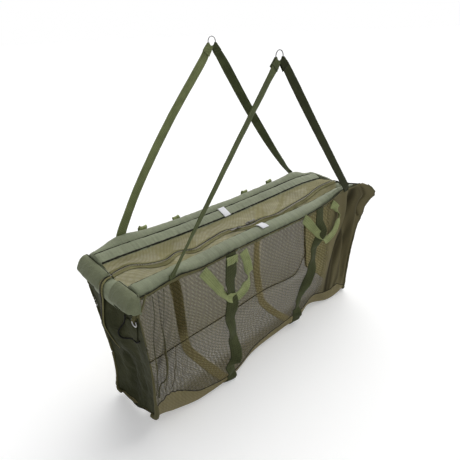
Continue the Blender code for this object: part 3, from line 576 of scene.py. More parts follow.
def tube(name, points, radii, look, sides=6, squash=1.0):
    """A thin round cord through points, such as piping or a row of stitches."""
    bm = bmesh.new()
    rings = []
    last = len(points) - 1
    turns = [2 * math.pi * k / sides for k in range(sides)]
    for i, p in enumerate(points):
        p = Vector(p)
        along = (Vector(points[min(last, i + 1)]) - Vector(points[max(0, i - 1)])).normalized()
        side = along.cross(Vector((0, 0, 1)))
        side = side.normalized() if side.length > 0.1 else along.cross(Vector((0, 1, 0))).normalized()
        up = side.cross(along)
        r = radii[i] if isinstance(radii, list) else radii
        spokes = [side * math.cos(t) * r + up * math.sin(t) * r * squash for t in turns]
        rings.append([bm.verts.new(p + spoke) for spoke in spokes])
    for a, b in zip(rings, rings[1:]):
        for k in range(sides):
            m = (k + 1) % sides
            bm.faces.new((a[k], a[m], b[m], b[k]))
    bm.faces.new(list(reversed(rings[0])))
    bm.faces.new(rings[-1])
    bmesh.ops.recalc_face_normals(bm, faces=bm.faces)
    return add_bmesh(name, bm, look)


def cord(name, line, radius, wear, look, sides=6):
    """A tube whose radius varies. wear is by what share, over what length and from what seed."""
    share, size, seed = wear
    tube(name, line, [radius * (1 + share * rough(p, size, seed)) for p in line], look, sides)


def teeth_row(name, corners, look):
    """Zip teeth. Each of corners is a function that says where a tooth's cube corner goes."""
    bm = bmesh.new()
    for corner_of in corners:
        for vert in bmesh.ops.create_cube(bm, size=1.0)["verts"]:
            vert.co = corner_of(vert.co.copy())
    return add_bmesh(name, bm, look)


# The sack's skin

# Half of the sack's length between its corner seams
HALF = 0.525
# The binding under a float's outer edge: how far below the ridge line it starts, and its width
EDGE_DROP = {"near": 0.02, "far": 0.026}
EDGE_WIDTH = 0.0085
# Places s down the skin: 0 at the float, 1 at the bottom seam, and this at the bottom's middle
MIDDLE = 1.75
# Rows of x, then (y outwards, z) eight times from the float down the wall to the bottom's middle, in mm
PROFILES = {
    "near": metres([
        (-527, 129, 492, 150, 365, 157, 255, 145, 175, 130, 115, 106, 46, 72, 34, 0, 30),
        (-460, 129, 492, 148, 370, 150, 265, 138, 175, 122, 118, 108, 34, 88, 10, 0, 16),
        (-360, 129, 488, 140, 360, 144, 245, 138, 140, 132, 56, 126, 14, 104, 3, 0, 4),
        (-220, 129, 486, 131, 352, 136, 235, 136, 120, 134, 30, 128, 8, 108, 3, 0, 3),
        (-80, 129, 486, 127, 355, 130, 240, 122, 135, 115, 50, 108, 22, 92, 10, 0, 3),
        (80, 129, 486, 126, 355, 128, 240, 120, 135, 112, 55, 105, 20, 88, 7, 0, 3),
        (200, 129, 487, 126, 358, 126, 245, 120, 140, 112, 56, 106, 20, 88, 6, 0, 3),
        (275, 129, 488, 128, 360, 126, 250, 117, 150, 105, 74, 95, 40, 80, 14, 0, 4),
        (370, 129, 490, 130, 365, 128, 250, 122, 145, 118, 52, 118, 12, 98, 3, 0, 4),
        (460, 129, 492, 138, 378, 132, 262, 124, 155, 122, 62, 124, 12, 102, 3, 0, 8),
        (532, 138, 490, 143, 388, 136, 265, 133, 145, 128, 32, 120, 10, 100, 4, 0, 14),
    ]),
    "far": metres([
        (-535, 127, 468, 120, 370, 108, 280, 94, 190, 90, 100, 100, 26, 66, 26, 0, 30),
        (-420, 120, 474, 138, 365, 140, 255, 132, 140, 112, 30, 100, 12, 76, 6, 0, 10),
        (-220, 119, 467, 129, 355, 132, 240, 131, 122, 113, 26, 94, 9, 64, 4, 0, 3),
        (0, 119, 464, 127, 350, 130, 235, 128, 122, 113, 22, 94, 8, 64, 4, 0, 3),
        (220, 119, 467, 129, 355, 132, 240, 129, 126, 112, 26, 92, 9, 62, 4, 0, 3),
        (420, 120, 474, 134, 370, 136, 255, 126, 140, 94, 22, 80, 10, 60, 5, 0, 8),
        (528, 127, 468, 136, 380, 132, 270, 122, 170, 112, 80, 104, 28, 80, 16, 0, 22),
    ]),
}
END_X = {}
for wall_side, profile_rows in PROFILES.items():
    END_X[wall_side, "left"] = profile_rows[0][0]
    END_X[wall_side, "right"] = profile_rows[-1][0]

# Where each corner runs along x, as rows of (s, x)
CORNER_X = {
    ("near", "left"): [(0.0, -0.527), (0.5, -0.529), (0.9, -0.524), (1.25, -0.513), (1.5, -0.515),
                       (1.75, -0.52)],
    ("near", "right"): [(0.0, 0.486), (1.0, 0.486), (1.25, 0.49), (1.75, 0.508)],
    ("far", "left"): [(0.0, -0.54), (0.25, -0.532), (0.5, -0.528), (0.75, -0.524), (1.0, -0.526),
                      (1.3, -0.532), (1.75, -0.53)],
    ("far", "right"): [(0.0, 0.54), (0.3, 0.532), (0.6, 0.52), (1.0, 0.515), (1.75, 0.515)],
}
# The near right corner, drawn out to a point below its pad: rows of (s, x, y outwards, z)
DRAWN_CORNER = [
    (0.0, 0.527, 0.137, 0.511), (0.045, 0.568, 0.15, 0.488), (0.09, 0.6, 0.16, 0.45),
    (0.13, 0.573, 0.1525, 0.431), (0.17, 0.547, 0.146, 0.405), (0.22, 0.543, 0.145, 0.382),
    (0.29, 0.531, 0.1425, 0.355), (0.35, 0.515, 0.14, 0.331), (0.48, 0.5, 0.138, 0.278),
    (0.62, 0.489, 0.1355, 0.208), (0.8, 0.486, 0.132, 0.12), (1.0, 0.486, 0.128, 0.032),
]
# The near wall's deep folds: each one's half width, its depth (how far it sinks in and how much painted shade
# it gets) and rows of (s, x) down it
DEEP_FOLDS = [
    (0.019, 1.0, [(0.0, 0.472), (0.07, 0.462), (0.22, 0.44), (0.34, 0.424), (0.47, 0.402), (0.62, 0.386),
                    (0.8, 0.37), (1.0, 0.359)]),
    (0.013, 0.8, [(0.0, 0.472), (0.07, 0.464), (0.22, 0.446), (0.34, 0.434), (0.47, 0.42), (0.62, 0.408),
                    (0.8, 0.392), (1.0, 0.38)]),
    (0.005, 0.8, [(0.0, 0.512), (0.1, 0.5), (0.2, 0.505), (0.27, 0.53), (0.4, 0.64), (1.0, 0.7)]),
    (0.015, 0.6, [(0.0, 0.49), (0.3, 0.474), (0.7, 0.44), (1.0, 0.425)]),
    (0.01, 0.62, [(0.0, -0.56), (0.45, -0.54), (0.6, -0.512), (0.9, -0.516), (1.0, -0.56)]),
    (0.005, 0.3, [(0.0, 0.3), (0.3, 0.318), (0.6, 0.306), (1.0, 0.29)]),
    (0.003, 0.3, [(0.0, -0.479), (0.15, -0.488), (0.31, -0.501), (0.5, -0.513), (0.74, -0.52),
                  (1.0, -0.522)]),
    (0.005, 0.85, [(0.0, -0.457), (0.2, -0.468), (0.29, -0.4775), (0.46, -0.497), (0.66, -0.512),
                   (0.9, -0.518)]),
    (0.003, 0.25, [(0.0, -0.505), (0.4, -0.514), (1.0, -0.52)]),
    (0.0035, 0.3, [(0.0, -0.372), (0.4, -0.385), (1.0, -0.4)]),
]


def pairs(numbers):
    return list(zip(numbers[::2], numbers[1::2]))


def lean(side, x, s):
    """How far the skin moves along x near its corners."""
    end = "left" if x < 0 else "right"
    share = smooth((abs(x) - 0.36) / 0.165)
    if (side, end) == ("near", "right"):
        share *= smooth((s - 0.88) / 0.12)
    return share * (value_at(CORNER_X[side, end], s)[0] - END_X[side, end])


def folds(side, x, s):
    """Gathers in the walls: upright pleats near the corners and slack ripples between."""
    if s > 1.3:
        return 0.0
    near = side == "near"
    left = smooth((-x - 0.36) / 0.12)
    right = smooth((x - 0.37) / 0.1)
    out = left * 0.0105 * ripple((x + HALF) / (1.0 - 0.45 * min(1.0, s)), 0.042, 0.4, 0.7)
    out += right * 0.013 * ripple(x - 0.022 * s, 0.06, 2.2, 0.8)
    if not near:
        out *= 0.5
    out += (1.0 - max(left, right)) * 0.0022 * ripple(x, 0.11, 3.0 * s + (1.0 if near else 3.0))
    if near:
        for half, depth, way in DEEP_FOLDS:
            out -= 0.011 * depth * (0.6 + 40.0 * half) * hump(x, value_at(way, s)[0], half * 1.3)
    p = Vector((x, s * 0.4, 1.0 if near else 7.0))
    out += 0.004 * rough(p, 0.12) + 0.0018 * rough(p, 0.045, 5.0)
    down = arch(min(1.0, s) ** 0.8)
    edge = smooth((HALF - abs(x)) / 0.03)
    return out * (0.25 + 0.75 * down) * (0.25 + 0.75 * edge)


def fold_shade(x, s):
    """How much a place of the near wall is closed up and darkened, from 0 to 1: painted shade in its deep
    folds, and more towards the left end.
    """
    # Darker and closer towards the left end
    deepest = 0.2 * smooth((-x - 0.33) / 0.12)
    for half, depth, way in DEEP_FOLDS:
        deepest = max(deepest, depth * hump(x, value_at(way, s)[0], half) * smooth(s / 0.06 + 0.2))
    return deepest


def drawn_out(x, s):
    """How the near wall is pulled towards the drawn-out corner, as (x, y outwards, z)."""
    share = smooth((x - 0.445) / 0.087) if s < 1.0 else 0.0
    if share == 0.0:
        return Vector((0.0, 0.0, 0.0))
    y, z = curve_at(pairs(PROFILES["near"][-1][1:]), s / MIDDLE)
    at = value_at(DRAWN_CORNER, s)
    shift = Vector((at[0] - END_X["near", "right"], at[1] - y, at[2] - z))
    return shift * share * smooth((1.0 - s) / 0.12)


def skin(side, x, s, lift=0.0):
    """A point of the sack's skin, or one lifted off it."""
    knots = pairs(value_at(PROFILES[side], x))
    y, z = curve_at(knots, s / MIDDLE)
    if s < 0.3 and abs(x) < 0.51:
        top = top_line(side, x) - EDGE_DROP[side] - 0.3 * EDGE_WIDTH
        top += foot_lift(side, x, 0.133) * 0.8 + edge_raise(side, x)
        z += (top - knots[0][1]) * (1.0 - smooth(s / 0.3)) * smooth((0.51 - abs(x)) / 0.03)
    ahead = curve_at(knots, (s + 0.02) / MIDDLE)
    behind = curve_at(knots, (s - 0.02) / MIDDLE)
    along = Vector([a - b for a, b in zip(ahead, behind)]).normalized()
    out = folds(side, x, s) * (1.0 - smooth((s - 0.9) / 0.4)) + lift
    p = Vector((x, y - along.y * out, z + along.x * out))
    if side == "near" and x > 0.44:
        p += drawn_out(x, s)
    # The net stands clear of the floor, and what is lifted off it lies lower
    lowest = 0.0064 - min(0.0036, 1.4 * lift)
    return Vector((p.x + lean(side, p.x, s), SIGN[side] * p.y, max(lowest, p.z)))


def corner(side, end, s, lift=0.0):
    return skin(side, END_X[side, end], s, lift)


def wall_x(side, u):
    """Places along a wall, denser towards both ends."""
    t = 2 * u - 1
    share = 0.5 + 0.5 * math.copysign(1 - (1 - abs(t)) ** 1.25, t)
    return lerp(END_X[side, "left"], END_X[side, "right"], share)


def on_strap(end, side, x, s):
    """1 where a belly strap lies on the skin and 0 beside it."""
    away = abs(x - value_at(BELLY_WAYS[end, side], s)[0]) - 0.5 * BELLY_WIDTH
    return 1.0 - smooth((away + 0.002) / 0.004)


def strap_glow(side, x, s):
    """How much painted glow the net gets where a belly strap lies on it, standing in for light that shows
    through.
    """
    low = smooth((s - 0.8) / 0.25)
    return max(on_strap(end, side, x, s) * lerp(*STRAP_GLOW[end], low) for end in STRAP_GLOW)


def far_shade(u, v):
    """Painted shade: the far wall is darker above the bottom over its left belly strap."""
    return 0.85 * on_strap("left", "far", wall_x("far", u), v) * (1.0 - smooth((v - 0.8) / 0.25))


def wall_point(side, u, v):
    return skin(side, wall_x(side, u), v)


def make_walls():
    marks = {
        "near": {"fold": lambda u, v: fold_shade(wall_x("near", u), v)},
        "far": {"fold": far_shade, "painted_glow": lambda u, v: strap_glow("far", wall_x("far", u), v)},
    }
    for side, mat in (("near", "wall"), ("far", "far_wall_lit")):
        obj = surface(f"{side}_wall_net", partial(wall_point, side), (260, 48), (1.05, 0.44),
                      (mat, "sack", "wall_mesh"), flip=side == "far", marks=marks[side])
        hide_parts(f"{side}_wall_mesh")


def make_bottom():
    # Near its middle the two sides' heights and places are brought together
    blend = 0.12

    def place(u, v):
        """The side, x and s of a place. v runs from the near seam to the far one."""
        side = "near" if v < 0.5 else "far"
        return side, wall_x(side, u), 1.0 + (MIDDLE - 1.0) * (1 - abs(2 * v - 1))

    def bottom(u, v):
        side, x, s = place(u, v)
        away = abs(2 * v - 1)
        p = skin(side, x, s)
        if away < blend:
            other = skin("far" if side == "near" else "near", x, MIDDLE)
            p.z = lerp(0.5 * (p.z + other.z), p.z, away / blend)
            p.x = lerp(0.5 * (p.x + other.x), p.x, away / blend)
        p.z = max(0.0024, p.z + 0.0012 * rough(p, 0.06, 9.0) * smooth((0.5 - away) / 0.3))
        return p

    # The bottom net is closed up and darker towards the near seam
    def near_seam_darkening(u, v):
        return 0.25 * smooth((0.38 - 2 * v) / 0.3)

    obj = surface("bottom_net", bottom, (300, 40), (1.05, 0.3), ("floor_net_lit", "sack", "wall_mesh"),
                  marks={"fold": near_seam_darkening, "painted_glow": lambda u, v: strap_glow(*place(u, v))})
    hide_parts("bottom_mesh")
    for side, radius in (("near", 0.0012), ("far", 0.0026)):
        places = steps(END_X[side, "left"], END_X[side, "right"], 161)
        seam = [skin(side, x, 1.0, 0.0012) for x in places]
        tube(f"{side}_bottom_seam", seam, radius, ("thread", "sack", "wall_mesh"))


def make_fold_lines():
    """Two upright pleats at the near left corner, whose stacked net reads as olive lines."""
    ways = [
        ([(0.02, -0.481), (0.15, -0.489), (0.31, -0.503), (0.5, -0.516), (0.74, -0.523)], 0.0017),
        ([(0.02, -0.445), (0.05, -0.447), (0.19, -0.4586), (0.24, -0.466), (0.37, -0.472), (0.53, -0.487),
          (0.72, -0.503), (0.88, -0.51)], 0.0032),
    ]
    for k, (way, thick) in enumerate(ways):
        line, radii = [], []
        for s in steps(way[0][0], way[-1][0], 70):
            line.append(skin("near", value_at(way, s)[0], s, 0.0016))
            radius = lerp(0.001, thick, smooth((s - 0.2) / 0.25))
            radii.append(radius * (1 + 0.25 * rough(line[-1], 0.012, 3.0)))
        tube(f"near_left_pleat_{k + 1}", line, radii, ("pleat", "sack", "wall_mesh"), 8, 0.6)


# How far out the zip holds the left end's cloth, as (z, x) in mm
ZIP_HANG = metres([
    (100, -524), (220, -529), (267, -537), (288, -546), (323, -556), (363, -565), (414, -560),
    (440, -558), (470, -556),
])


def end_surface(end):
    """An end panel from its near corner to its far corner, slack between them."""

    def shape(u, v):
        s = lerp(0.02, 1.5, v)
        p = corner("near", end, s).lerp(corner("far", end, s), u)
        across = arch(u)
        down = arch(min(1.0, v * 1.05))
        crumple = 0.006 * rough(p, 0.055, 2.0) + 0.003 * rough(p, 0.022, 4.0)
        dent = (0.016 + 0.004 * math.sin(u * 21.0 + 3.0 * v)) * across * down
        p.x -= SIGN[end] * (dent - crumple * (0.35 + 0.65 * across))
        p.z -= 0.01 * across * smooth((v - 0.75) / 0.25)
        if end == "left":
            held = hump(p.y, 0.01, 0.05) * smooth((p.z - 0.2) / 0.08)
            p.x = lerp(p.x, value_at(ZIP_HANG, p.z)[0] + 0.0025, held)
        p.z = max(0.006, p.z)
        return p

    return shape


def corner_tape(side, end):
    """The binding that covers a corner's seam, swollen where it turns under the sack."""
    swelling = 1.1 if (end, side) == ("left", "near") else 0.3
    points, radii = [], []
    for s in steps(0.03, 1.45, 60):
        p = corner(side, end, s, 0.001)
        p.x += SIGN[end] * 0.001
        bulb = (1.0 + swelling * smooth((s - 0.85) / 0.4)) * (0.55 + 0.45 * smooth((s - 0.35) / 0.35))
        radii.append(0.004 * bulb * (1 + 0.18 * rough(p, 0.015, 6.0)))
        p.y += 0.0012 * rough(p, 0.02, 1.0)
        p.z = max(p.z, radii[-1] + 0.0012)
        points.append(p)
    obj = tube(f"{end}_{side}_corner_tape", points, radii, ("binding", "sack", "zip_tape"), 10)
    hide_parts(f"{end}_{side}_corner_binding")


def make_end_cloths():
    for end in ("left", "right"):
        obj = surface(f"{end}_end_cloth", end_surface(end), (60, 70), (0.25, 0.46),
                      ("end", "sack", "end_nylon"), flip=end == "right")
        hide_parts(f"{end}_end_panel")
        corner_tape("near", end)
        corner_tape("far", end)


def make_end_glow_lining():
    """A paler sheet just inside the right end, which shows through the near wall; its pale colour and glow
    are painted light for the light through the end's cloth.
    """
    outside = end_surface("right")
    inwards = Vector((-0.0034, 0.0, 0.0014))

    def shape(u, v):
        return outside(lerp(0.09, 0.95, u), lerp(0.15, 0.97, v)) + inwards

    obj = surface("right_end_glow_lining", shape, (50, 60), (0.25, 0.44), ("glow_lining", "sack", "end_nylon"))


# Floats

FLOAT_HALF = 0.5175
FEET_X = 0.4145
# Each float's section as (y outwards, height over the ridge line) in mm, from its inner seam on
FLOAT_SECTION = {
    "near": metres([
        (56, -40), (60, -36), (69, -27), (79, -16), (87, -7.2), (93.5, -1), (100, 0.6), (110, 0),
        (120, -3), (128, -8), (131.8, -15), (132.2, -23), (130.5, -30), (126, -35.5), (116, -39.5),
        (100, -44), (82, -48), (65, -50), (56, -50), (52.2, -47), (51.8, -44), (53, -42.5),
    ]),
    "far": metres([
        (56, -15), (62, -12), (74, -7.5), (84, -4.2), (92, -1.6), (95.5, -1.4), (100, 1.8), (109, 6.5),
        (119, 8.5), (128, 5), (132.2, -3), (132.5, -14), (131, -24), (126.5, -32), (116, -36),
        (100, -38), (82, -39), (65, -39), (56, -37), (52, -30), (51.5, -23), (53, -17.5),
    ]),
}
SECTION_POINTS = 22
# Places on a float's section
RIDGE_PLACE = 5.1
OUTER_PLACE = 11.2
# How far each ridge line stands over its plain sag, as (x, rise) in mm
FLOAT_RISE = {
    "near": metres([
        (-530, 0), (-300, 2), (-180, 6), (-100, 6), (0, 3), (136, -3), (264, -6), (360, -5), (410, -6),
        (460, -13), (490, -19), (530, -31),
    ]),
    "far": metres([
        (-530, 12.5), (-450, 13), (-360, 10), (-200, 6), (-50, 3), (200, 1), (360, -2), (430, -8),
        (530, -22),
    ]),
}
# How far the near float's outer edge is turned up over its side, as (x, rise) in mm
EDGE_RAISE = metres([
    (150, 0), (209, 3), (249, 5.5), (289, 8), (321, 9), (352, 11.5), (384, 13.5), (422, 15), (458, 21.5),
    (490, 26.5), (530, 35),
])


def top_line(side, x):
    """Height of a float's ridge line."""
    return 0.525 - 0.012 * (1 - (x / HALF) ** 2) + value_at(FLOAT_RISE[side], x)[0]


def narrowing(side, x):
    """How far the near float has been drawn thinner towards its right end."""
    return smooth((x - 0.18) / 0.24) if side == "near" else 0.0


def edge_raise(side, x):
    return value_at(EDGE_RAISE, x)[0] if side == "near" and x > 0.15 else 0.0


def end_fall(side, x, y):
    """The far float's outer side falls away towards its ends."""
    if side == "near":
        return 0.0
    return 0.016 * smooth((abs(x) - 0.425) / 0.09) * smooth((y - 0.096) / 0.026)


def foot_lift(side, x, y):
    """The strap feet pull the float's outer edge up a little."""
    pull = 0.011 if side == "near" else 0.008
    return pull * hump(abs(x), FEET_X - 0.015, 0.055) * smooth((y - 0.09) / 0.04)


def float_point(side, x, place, out=0.0):
    """A point of a float's cover: place counts along its section, and out lifts it off the cover."""
    y, drop = curve_at(FLOAT_SECTION[side] + FLOAT_SECTION[side][:1], place / SECTION_POINTS)
    inner = narrowing(side, x) * smooth((0.096 - y) / 0.04)
    y, drop = y + 0.015 * inner, drop - 0.008 * inner - end_fall(side, x, y)
    y -= min(0.0125, 0.85 * edge_raise(side, x)) * smooth((y - 0.106) / 0.022)
    point = Vector((y, drop))
    point += (point - Vector((0.092, -0.022))).normalized() * out
    return Vector((x, SIGN[side] * point.x, top_line(side, x) + point.y + foot_lift(side, x, y)))


def make_float(side):
    far = side == "far"

    def shape(u, v):
        x = lerp(-FLOAT_HALF, FLOAT_HALF, v)
        k = u * SECTION_POINTS
        p = Vector((x, k * 0.02, 0.0 if far else 5.0))
        puff = 0.0016 * rough(p, 0.09, 1.0) + 0.0009 * rough(p, 0.03, 2.0)
        inner = hump(k, 0.4, 1.5) + hump(k, 22.4, 1.5)
        ridge_line = hump(k, RIDGE_PLACE, 0.8) * (1.0 if far else 0.35)
        outer = hump(k, OUTER_PLACE, 1.5)
        pleats = rough((x, 0.0, k * 0.0004), 0.0085, 11.0)
        puff += 0.003 * pleats * (inner + outer) + 0.0016 * pleats * ridge_line
        puff += 0.0009 * rough((x, 0.0, k * 0.0012), 0.016, 21.0)
        puff -= 0.0026 * ridge_line + 0.0012 * outer
        puff += 0.002 * hump(k, 2.6, 1.3)
        near_end = smooth((FLOAT_HALF - abs(x)) / 0.01)
        middle = Vector((x, SIGN[side] * 0.092, top_line(side, x) - 0.022))
        return middle.lerp(float_point(side, x, k, puff), 0.9 + 0.1 * near_end)

    obj = surface(f"{side}_float_pad", shape, (66, 300), (0.22, 1.03), ("cover", "sack", "float_cover"),
                  closed=True, flip=not far)
    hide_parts(f"{side}_float_cover", f"{side}_float_foam")
    # Dark thread seams; the far float's are thicker, also standing in for the shadow along its inner edge and
    # ridge: painted shadow
    seams = [("ridge", RIDGE_PLACE, -0.001, 0.0017 if far else 0.0007),
             ("inner", 0.0, -0.0004, 0.003 if far else 0.0018)]
    for name, place, out, radius in seams:
        line, radii = [], []
        for x in steps(0.004 - FLOAT_HALF, FLOAT_HALF - 0.004, 320):
            at = (x, 0, 0)
            wander = 0.1 * rough(at, 0.012, 7.0 + place)
            line.append(float_point(side, x, place + wander, out + 0.0006 * rough(at, 0.01, 8.0)))
            radii.append(radius * (1.0 + 0.35 * rough(at, 0.008, 9.0)))
        tube(f"{side}_{name}_seam", line, radii, ("thread", "sack", "float_cover"))


EDGE_HALF = 0.521


def make_edge_tape(side):
    """The puckered binding under a float's outer edge."""

    def shape(u, v):
        x = lerp(-EDGE_HALF, EDGE_HALF, v)
        raised = edge_raise(side, x)
        tuck = rough((x, 0, 0), 0.011, 13.0) * 0.0016 + rough((x, 0, 0), 0.004, 14.0) * 0.0006
        y = 0.1336 + tuck * arch(u) - 0.002 * u - min(0.0024, 0.18 * raised)
        z = top_line(side, x) - EDGE_DROP[side] - EDGE_WIDTH * u
        z += 0.0014 * rough((x, 0, 0), 0.03, 15.0) + raised
        return Vector((x, SIGN[side] * y, z + foot_lift(side, x, y) * (1 - 0.4 * u)))

    obj = surface(f"{side}_edge_tape", shape, (6, 420), (EDGE_WIDTH, 1.04), ("binding", "sack", "zip_tape"),
                  flip=side == "far", thick=0.0012)
    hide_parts(f"{side}_edge_binding")
    base = [shape(0.0, v) for v in steps(0.002 / EDGE_HALF, 1.0 - 0.002 / EDGE_HALF, 360)]
    line = [p + Vector((0, SIGN[side] * 0.0002, 0.0006 * rough(p, 0.01, 2.0))) for p in base]
    radii = [0.0013 * (1 + 0.4 * rough(p, 0.009, 3.0)) for p in base]
    tube(f"{side}_edge_seam", line, radii, ("thread", "sack", "zip_tape"))


# An end pad's section as (x outwards, z) in mm, from its inner top round to its inner bottom
PAD_SECTION = metres([
    (0, 515), (10, 516.8), (21, 512.5), (30, 503.5), (36.5, 493), (40.5, 483.5), (38.5, 476.5),
    (32, 471.5), (27, 467), (21, 463), (15, 460.5), (8, 459), (0, 459),
])
# Each pad: the y of its inner and outer end, and how far each of them stands up
END_PADS = {
    ("left", "far"): (0.008, 0.144, -0.003, 0.006),
    ("left", "near"): (-0.034, -0.141, -0.003, -0.002),
    ("right", "far"): (0.01, 0.124, -0.025, -0.015),
    ("right", "near"): (-0.034, -0.121, -0.029, -0.03),
}


def pad_point(end, side, u, v, out=0.0):
    """A point of an end pad: u goes round its section and v from the zip to its outer end."""
    y_inner, y_outer, rise_inner, rise_outer = END_PADS[end, side]
    x, z = curve_at(PAD_SECTION + PAD_SECTION[:1], u)
    y = lerp(y_inner, y_outer, v)
    z += lerp(rise_inner, rise_outer, v)
    middle = Vector((0.021, 0.484))
    point = Vector((x, z))
    # The pad's flat inner side, against the float, doesn't puff
    flat = x < 0.006
    away = Vector((0.0, 0.0)) if flat else (point - middle).normalized()
    reach = 0.06 if (end, side) == ("left", "far") else 0.1
    closing = max(0.0, 1 - min(v, 1 - v) / reach) ** 2
    point = middle.lerp(point, 1 - (0.2 if flat else 0.34) * closing)
    p = Vector((point.x, y, point.y + (4.0 if end == "left" else 9.0)))
    puff = 0.0022 * arch(v) + 0.0013 * rough(p, 0.03, 1.0) + 0.0008 * rough(p, 0.011, 2.0)
    puff += 0.0012 * hump(u * len(PAD_SECTION), 7.0, 0.7) * rough(p, 0.007, 3.0)
    point += away * (puff + out)
    return Vector((SIGN[end] * (0.5165 + point.x), y, point.y))


def make_end_pads():
    for end, side in END_PADS:
        obj = surface(f"{end}_{side}_end_pad", partial(pad_point, end, side), (60, 60), (0.16, 0.12),
                      ("pad", "sack", "float_cover"), closed=True, flip=(end == "left") != (side == "far"))
        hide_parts(f"{end}_{side}_end_cover", f"{end}_{side}_end_foam")
        for name, place, radius in (("seam", 7.0, 0.0021), ("edge", 0.35, 0.0014)):
            u = place / len(PAD_SECTION)
            line = [pad_point(end, side, u, v, 0.0002) for v in steps(0.03, 0.97, 61)]
            cord(f"{end}_{side}_pad_{name}", line, radius, (0.3, 0.008, 4.0),
                 ("thread", "sack", "float_cover"))


def make_pad_piping():
    """The binding that closes the near left pad's outer end, from the float's edge down to its corner."""
    way = metres([
        (-500, -138.5, 506), (-506, -140, 498), (-513, -141, 484), (-522, -138.5, 466),
        (-531, -132, 450),
    ])
    cord("left_near_pad_piping", even(way, 40), 0.0026, (0.25, 0.01, 3.0), ("tape", "sack", "zip_tape"), 8)


# Mouth and zip

MOUTH_HALF = 0.5145
TAPE_WIDTH = 0.0125
TOOTH_PITCH = 0.004
# The zip's middle line, as (x, y, z) in mm
ZIP_LINE = metres([
    (-514, 10, 504.5), (-480, 17, 503), (-445, 19, 499), (-405, 0, 492), (-350, -8, 485),
    (-294, 10, 480.2), (-247, -12, 480), (-207, -8, 480), (-160, 0, 480), (-98, 6, 480), (-45, -12, 480),
    (0, -24, 480), (52, -21, 480), (115, -34, 480), (203, -27, 480.5), (323, -18, 483), (430, -2, 488),
    (514, -12, 493.5),
])


def mouth_edge(side, x):
    """The y at which a mouth strip meets its float."""
    return SIGN[side] * (0.053 + 0.014 * narrowing(side, x))


def mouth_point(side, x, t, lift=0.0):
    """A point of a mouth strip: t is 0 at the float and 1 at the zip."""
    zip_y, zip_z = value_at(ZIP_LINE, x)
    edge_z = top_line(side, x) - (0.042 if side == "near" else 0.0176) - 0.008 * narrowing(side, x)
    y = lerp(mouth_edge(side, x), zip_y, t)
    sag = -0.006 * arch(t) * smooth((0.52 - abs(x)) / 0.1)
    z = lerp(edge_z, zip_z, smooth(t) * 0.5 + t * 0.5) + sag
    wrinkle = rough((x, y * 2.5, 3.0 if side == "near" else 8.0), 0.045, 1.0)
    small = rough((x, y * 1.2, 4.0), 0.018, 6.0)
    damp = arch(min(1.0, t * 1.02)) ** 0.5 if 0 < t < 0.98 else 0.0
    return Vector((x, y, z + (0.003 * wrinkle + 0.0014 * small) * damp + lift))


def make_mouth(side):
    sign = SIGN[side]
    body = f"{side}_flap"
    far = side == "far"

    def share(x, distance):
        """How far along t a point lies that is a distance from the zip."""
        return 1 - distance / abs(mouth_edge(side, x) - value_at(ZIP_LINE, x)[0])

    def net(u, v):
        x = lerp(-MOUTH_HALF, MOUTH_HALF, u)
        return mouth_point(side, x, v * share(x, TAPE_WIDTH * 0.75))

    def band(u, v):
        x = lerp(-MOUTH_HALF, MOUTH_HALF, u)
        t = lerp(share(x, TAPE_WIDTH), share(x, 0.0022), v)
        fold = 0.0022 * hump(v, 0.25, 0.22) * (0.5 + 0.7 * rough((x, 0, 2.0), 0.05, sign * 3.0))
        return mouth_point(side, x, t, 0.0008 + max(0.0, fold))

    def tooth(x):
        y, z = value_at(ZIP_LINE, x)
        deep = 0.0064 if far else 0.0022

        def place(c):
            wide = 0.0028 if c.y * sign < 0 else 0.0034
            return Vector((x + c.x * wide, y + sign * deep * 0.36 + c.y * deep, z + 0.0012 + c.z * 0.0018))

        return place

    obj = surface(f"{side}_mouth_net", net, (240, 14), (1.03, 0.05), ("top", body, "top_mesh"), flip=not far)
    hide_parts(f"{side}_top_mesh")
    obj = surface(f"{side}_zip_band", band, (240, 8), (1.03, TAPE_WIDTH), ("tape", body, "zip_tape"),
                  flip=not far, thick=0.001)
    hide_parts(f"{side}_zip_tape")
    teeth = []
    x = -MOUTH_HALF + 0.003 + (0.0 if far else TOOTH_PITCH / 2)
    while x < MOUTH_HALF - 0.003:
        teeth.append(tooth(x))
        x += TOOTH_PITCH
    # The near comb gets paler teeth, a painted highlight along the zip
    obj = teeth_row(f"{side}_zip_comb", teeth, ("teeth" if far else "teeth_highlight", body, "zip_teeth"))
    obj.data.shade_flat()
    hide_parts(f"{side}_zip_teeth")


def make_bridges():
    """The slack cloth between the pads, over which the zip runs down each end."""
    ways = {
        "left": metres([
            (-498, 480), (-512, 496), (-530, 500), (-547, 496), (-556, 483), (-556, 466), (-548, 450),
            (-536, 436), (-527, 420),
        ]),
        "right": metres([
            (498, 475), (512, 483), (530, 481.5), (545, 475.5), (552, 465), (551, 450), (543, 435),
            (532, 423), (525, 411),
        ]),
    }
    for end, path in ways.items():
        def shape(u, v, path=path, end=end):
            x, z = curve_at(path, v)
            t = 2 * u - 1
            y = -0.012 + 0.052 * t
            z -= 0.01 * smooth((abs(t) - 0.55) / 0.45) * (1 - v)
            x -= SIGN[end] * 0.004 * smooth((abs(t) - 0.5) / 0.5) * v
            return Vector((x, y, z + 0.0014 * rough((x, y, z), 0.02, 3.0)))

        surface(f"{end}_end_bridge", shape, (24, 40), (0.104, 0.14), ("cover", "sack", "float_cover"),
                flip=end == "right", thick=0.001)


def panel_x(panel, y, z):
    """The x of an end panel beside a place given by y and z."""
    return min(panel, key=lambda p: (p.y - y) ** 2 + (p.z - z) ** 2).x


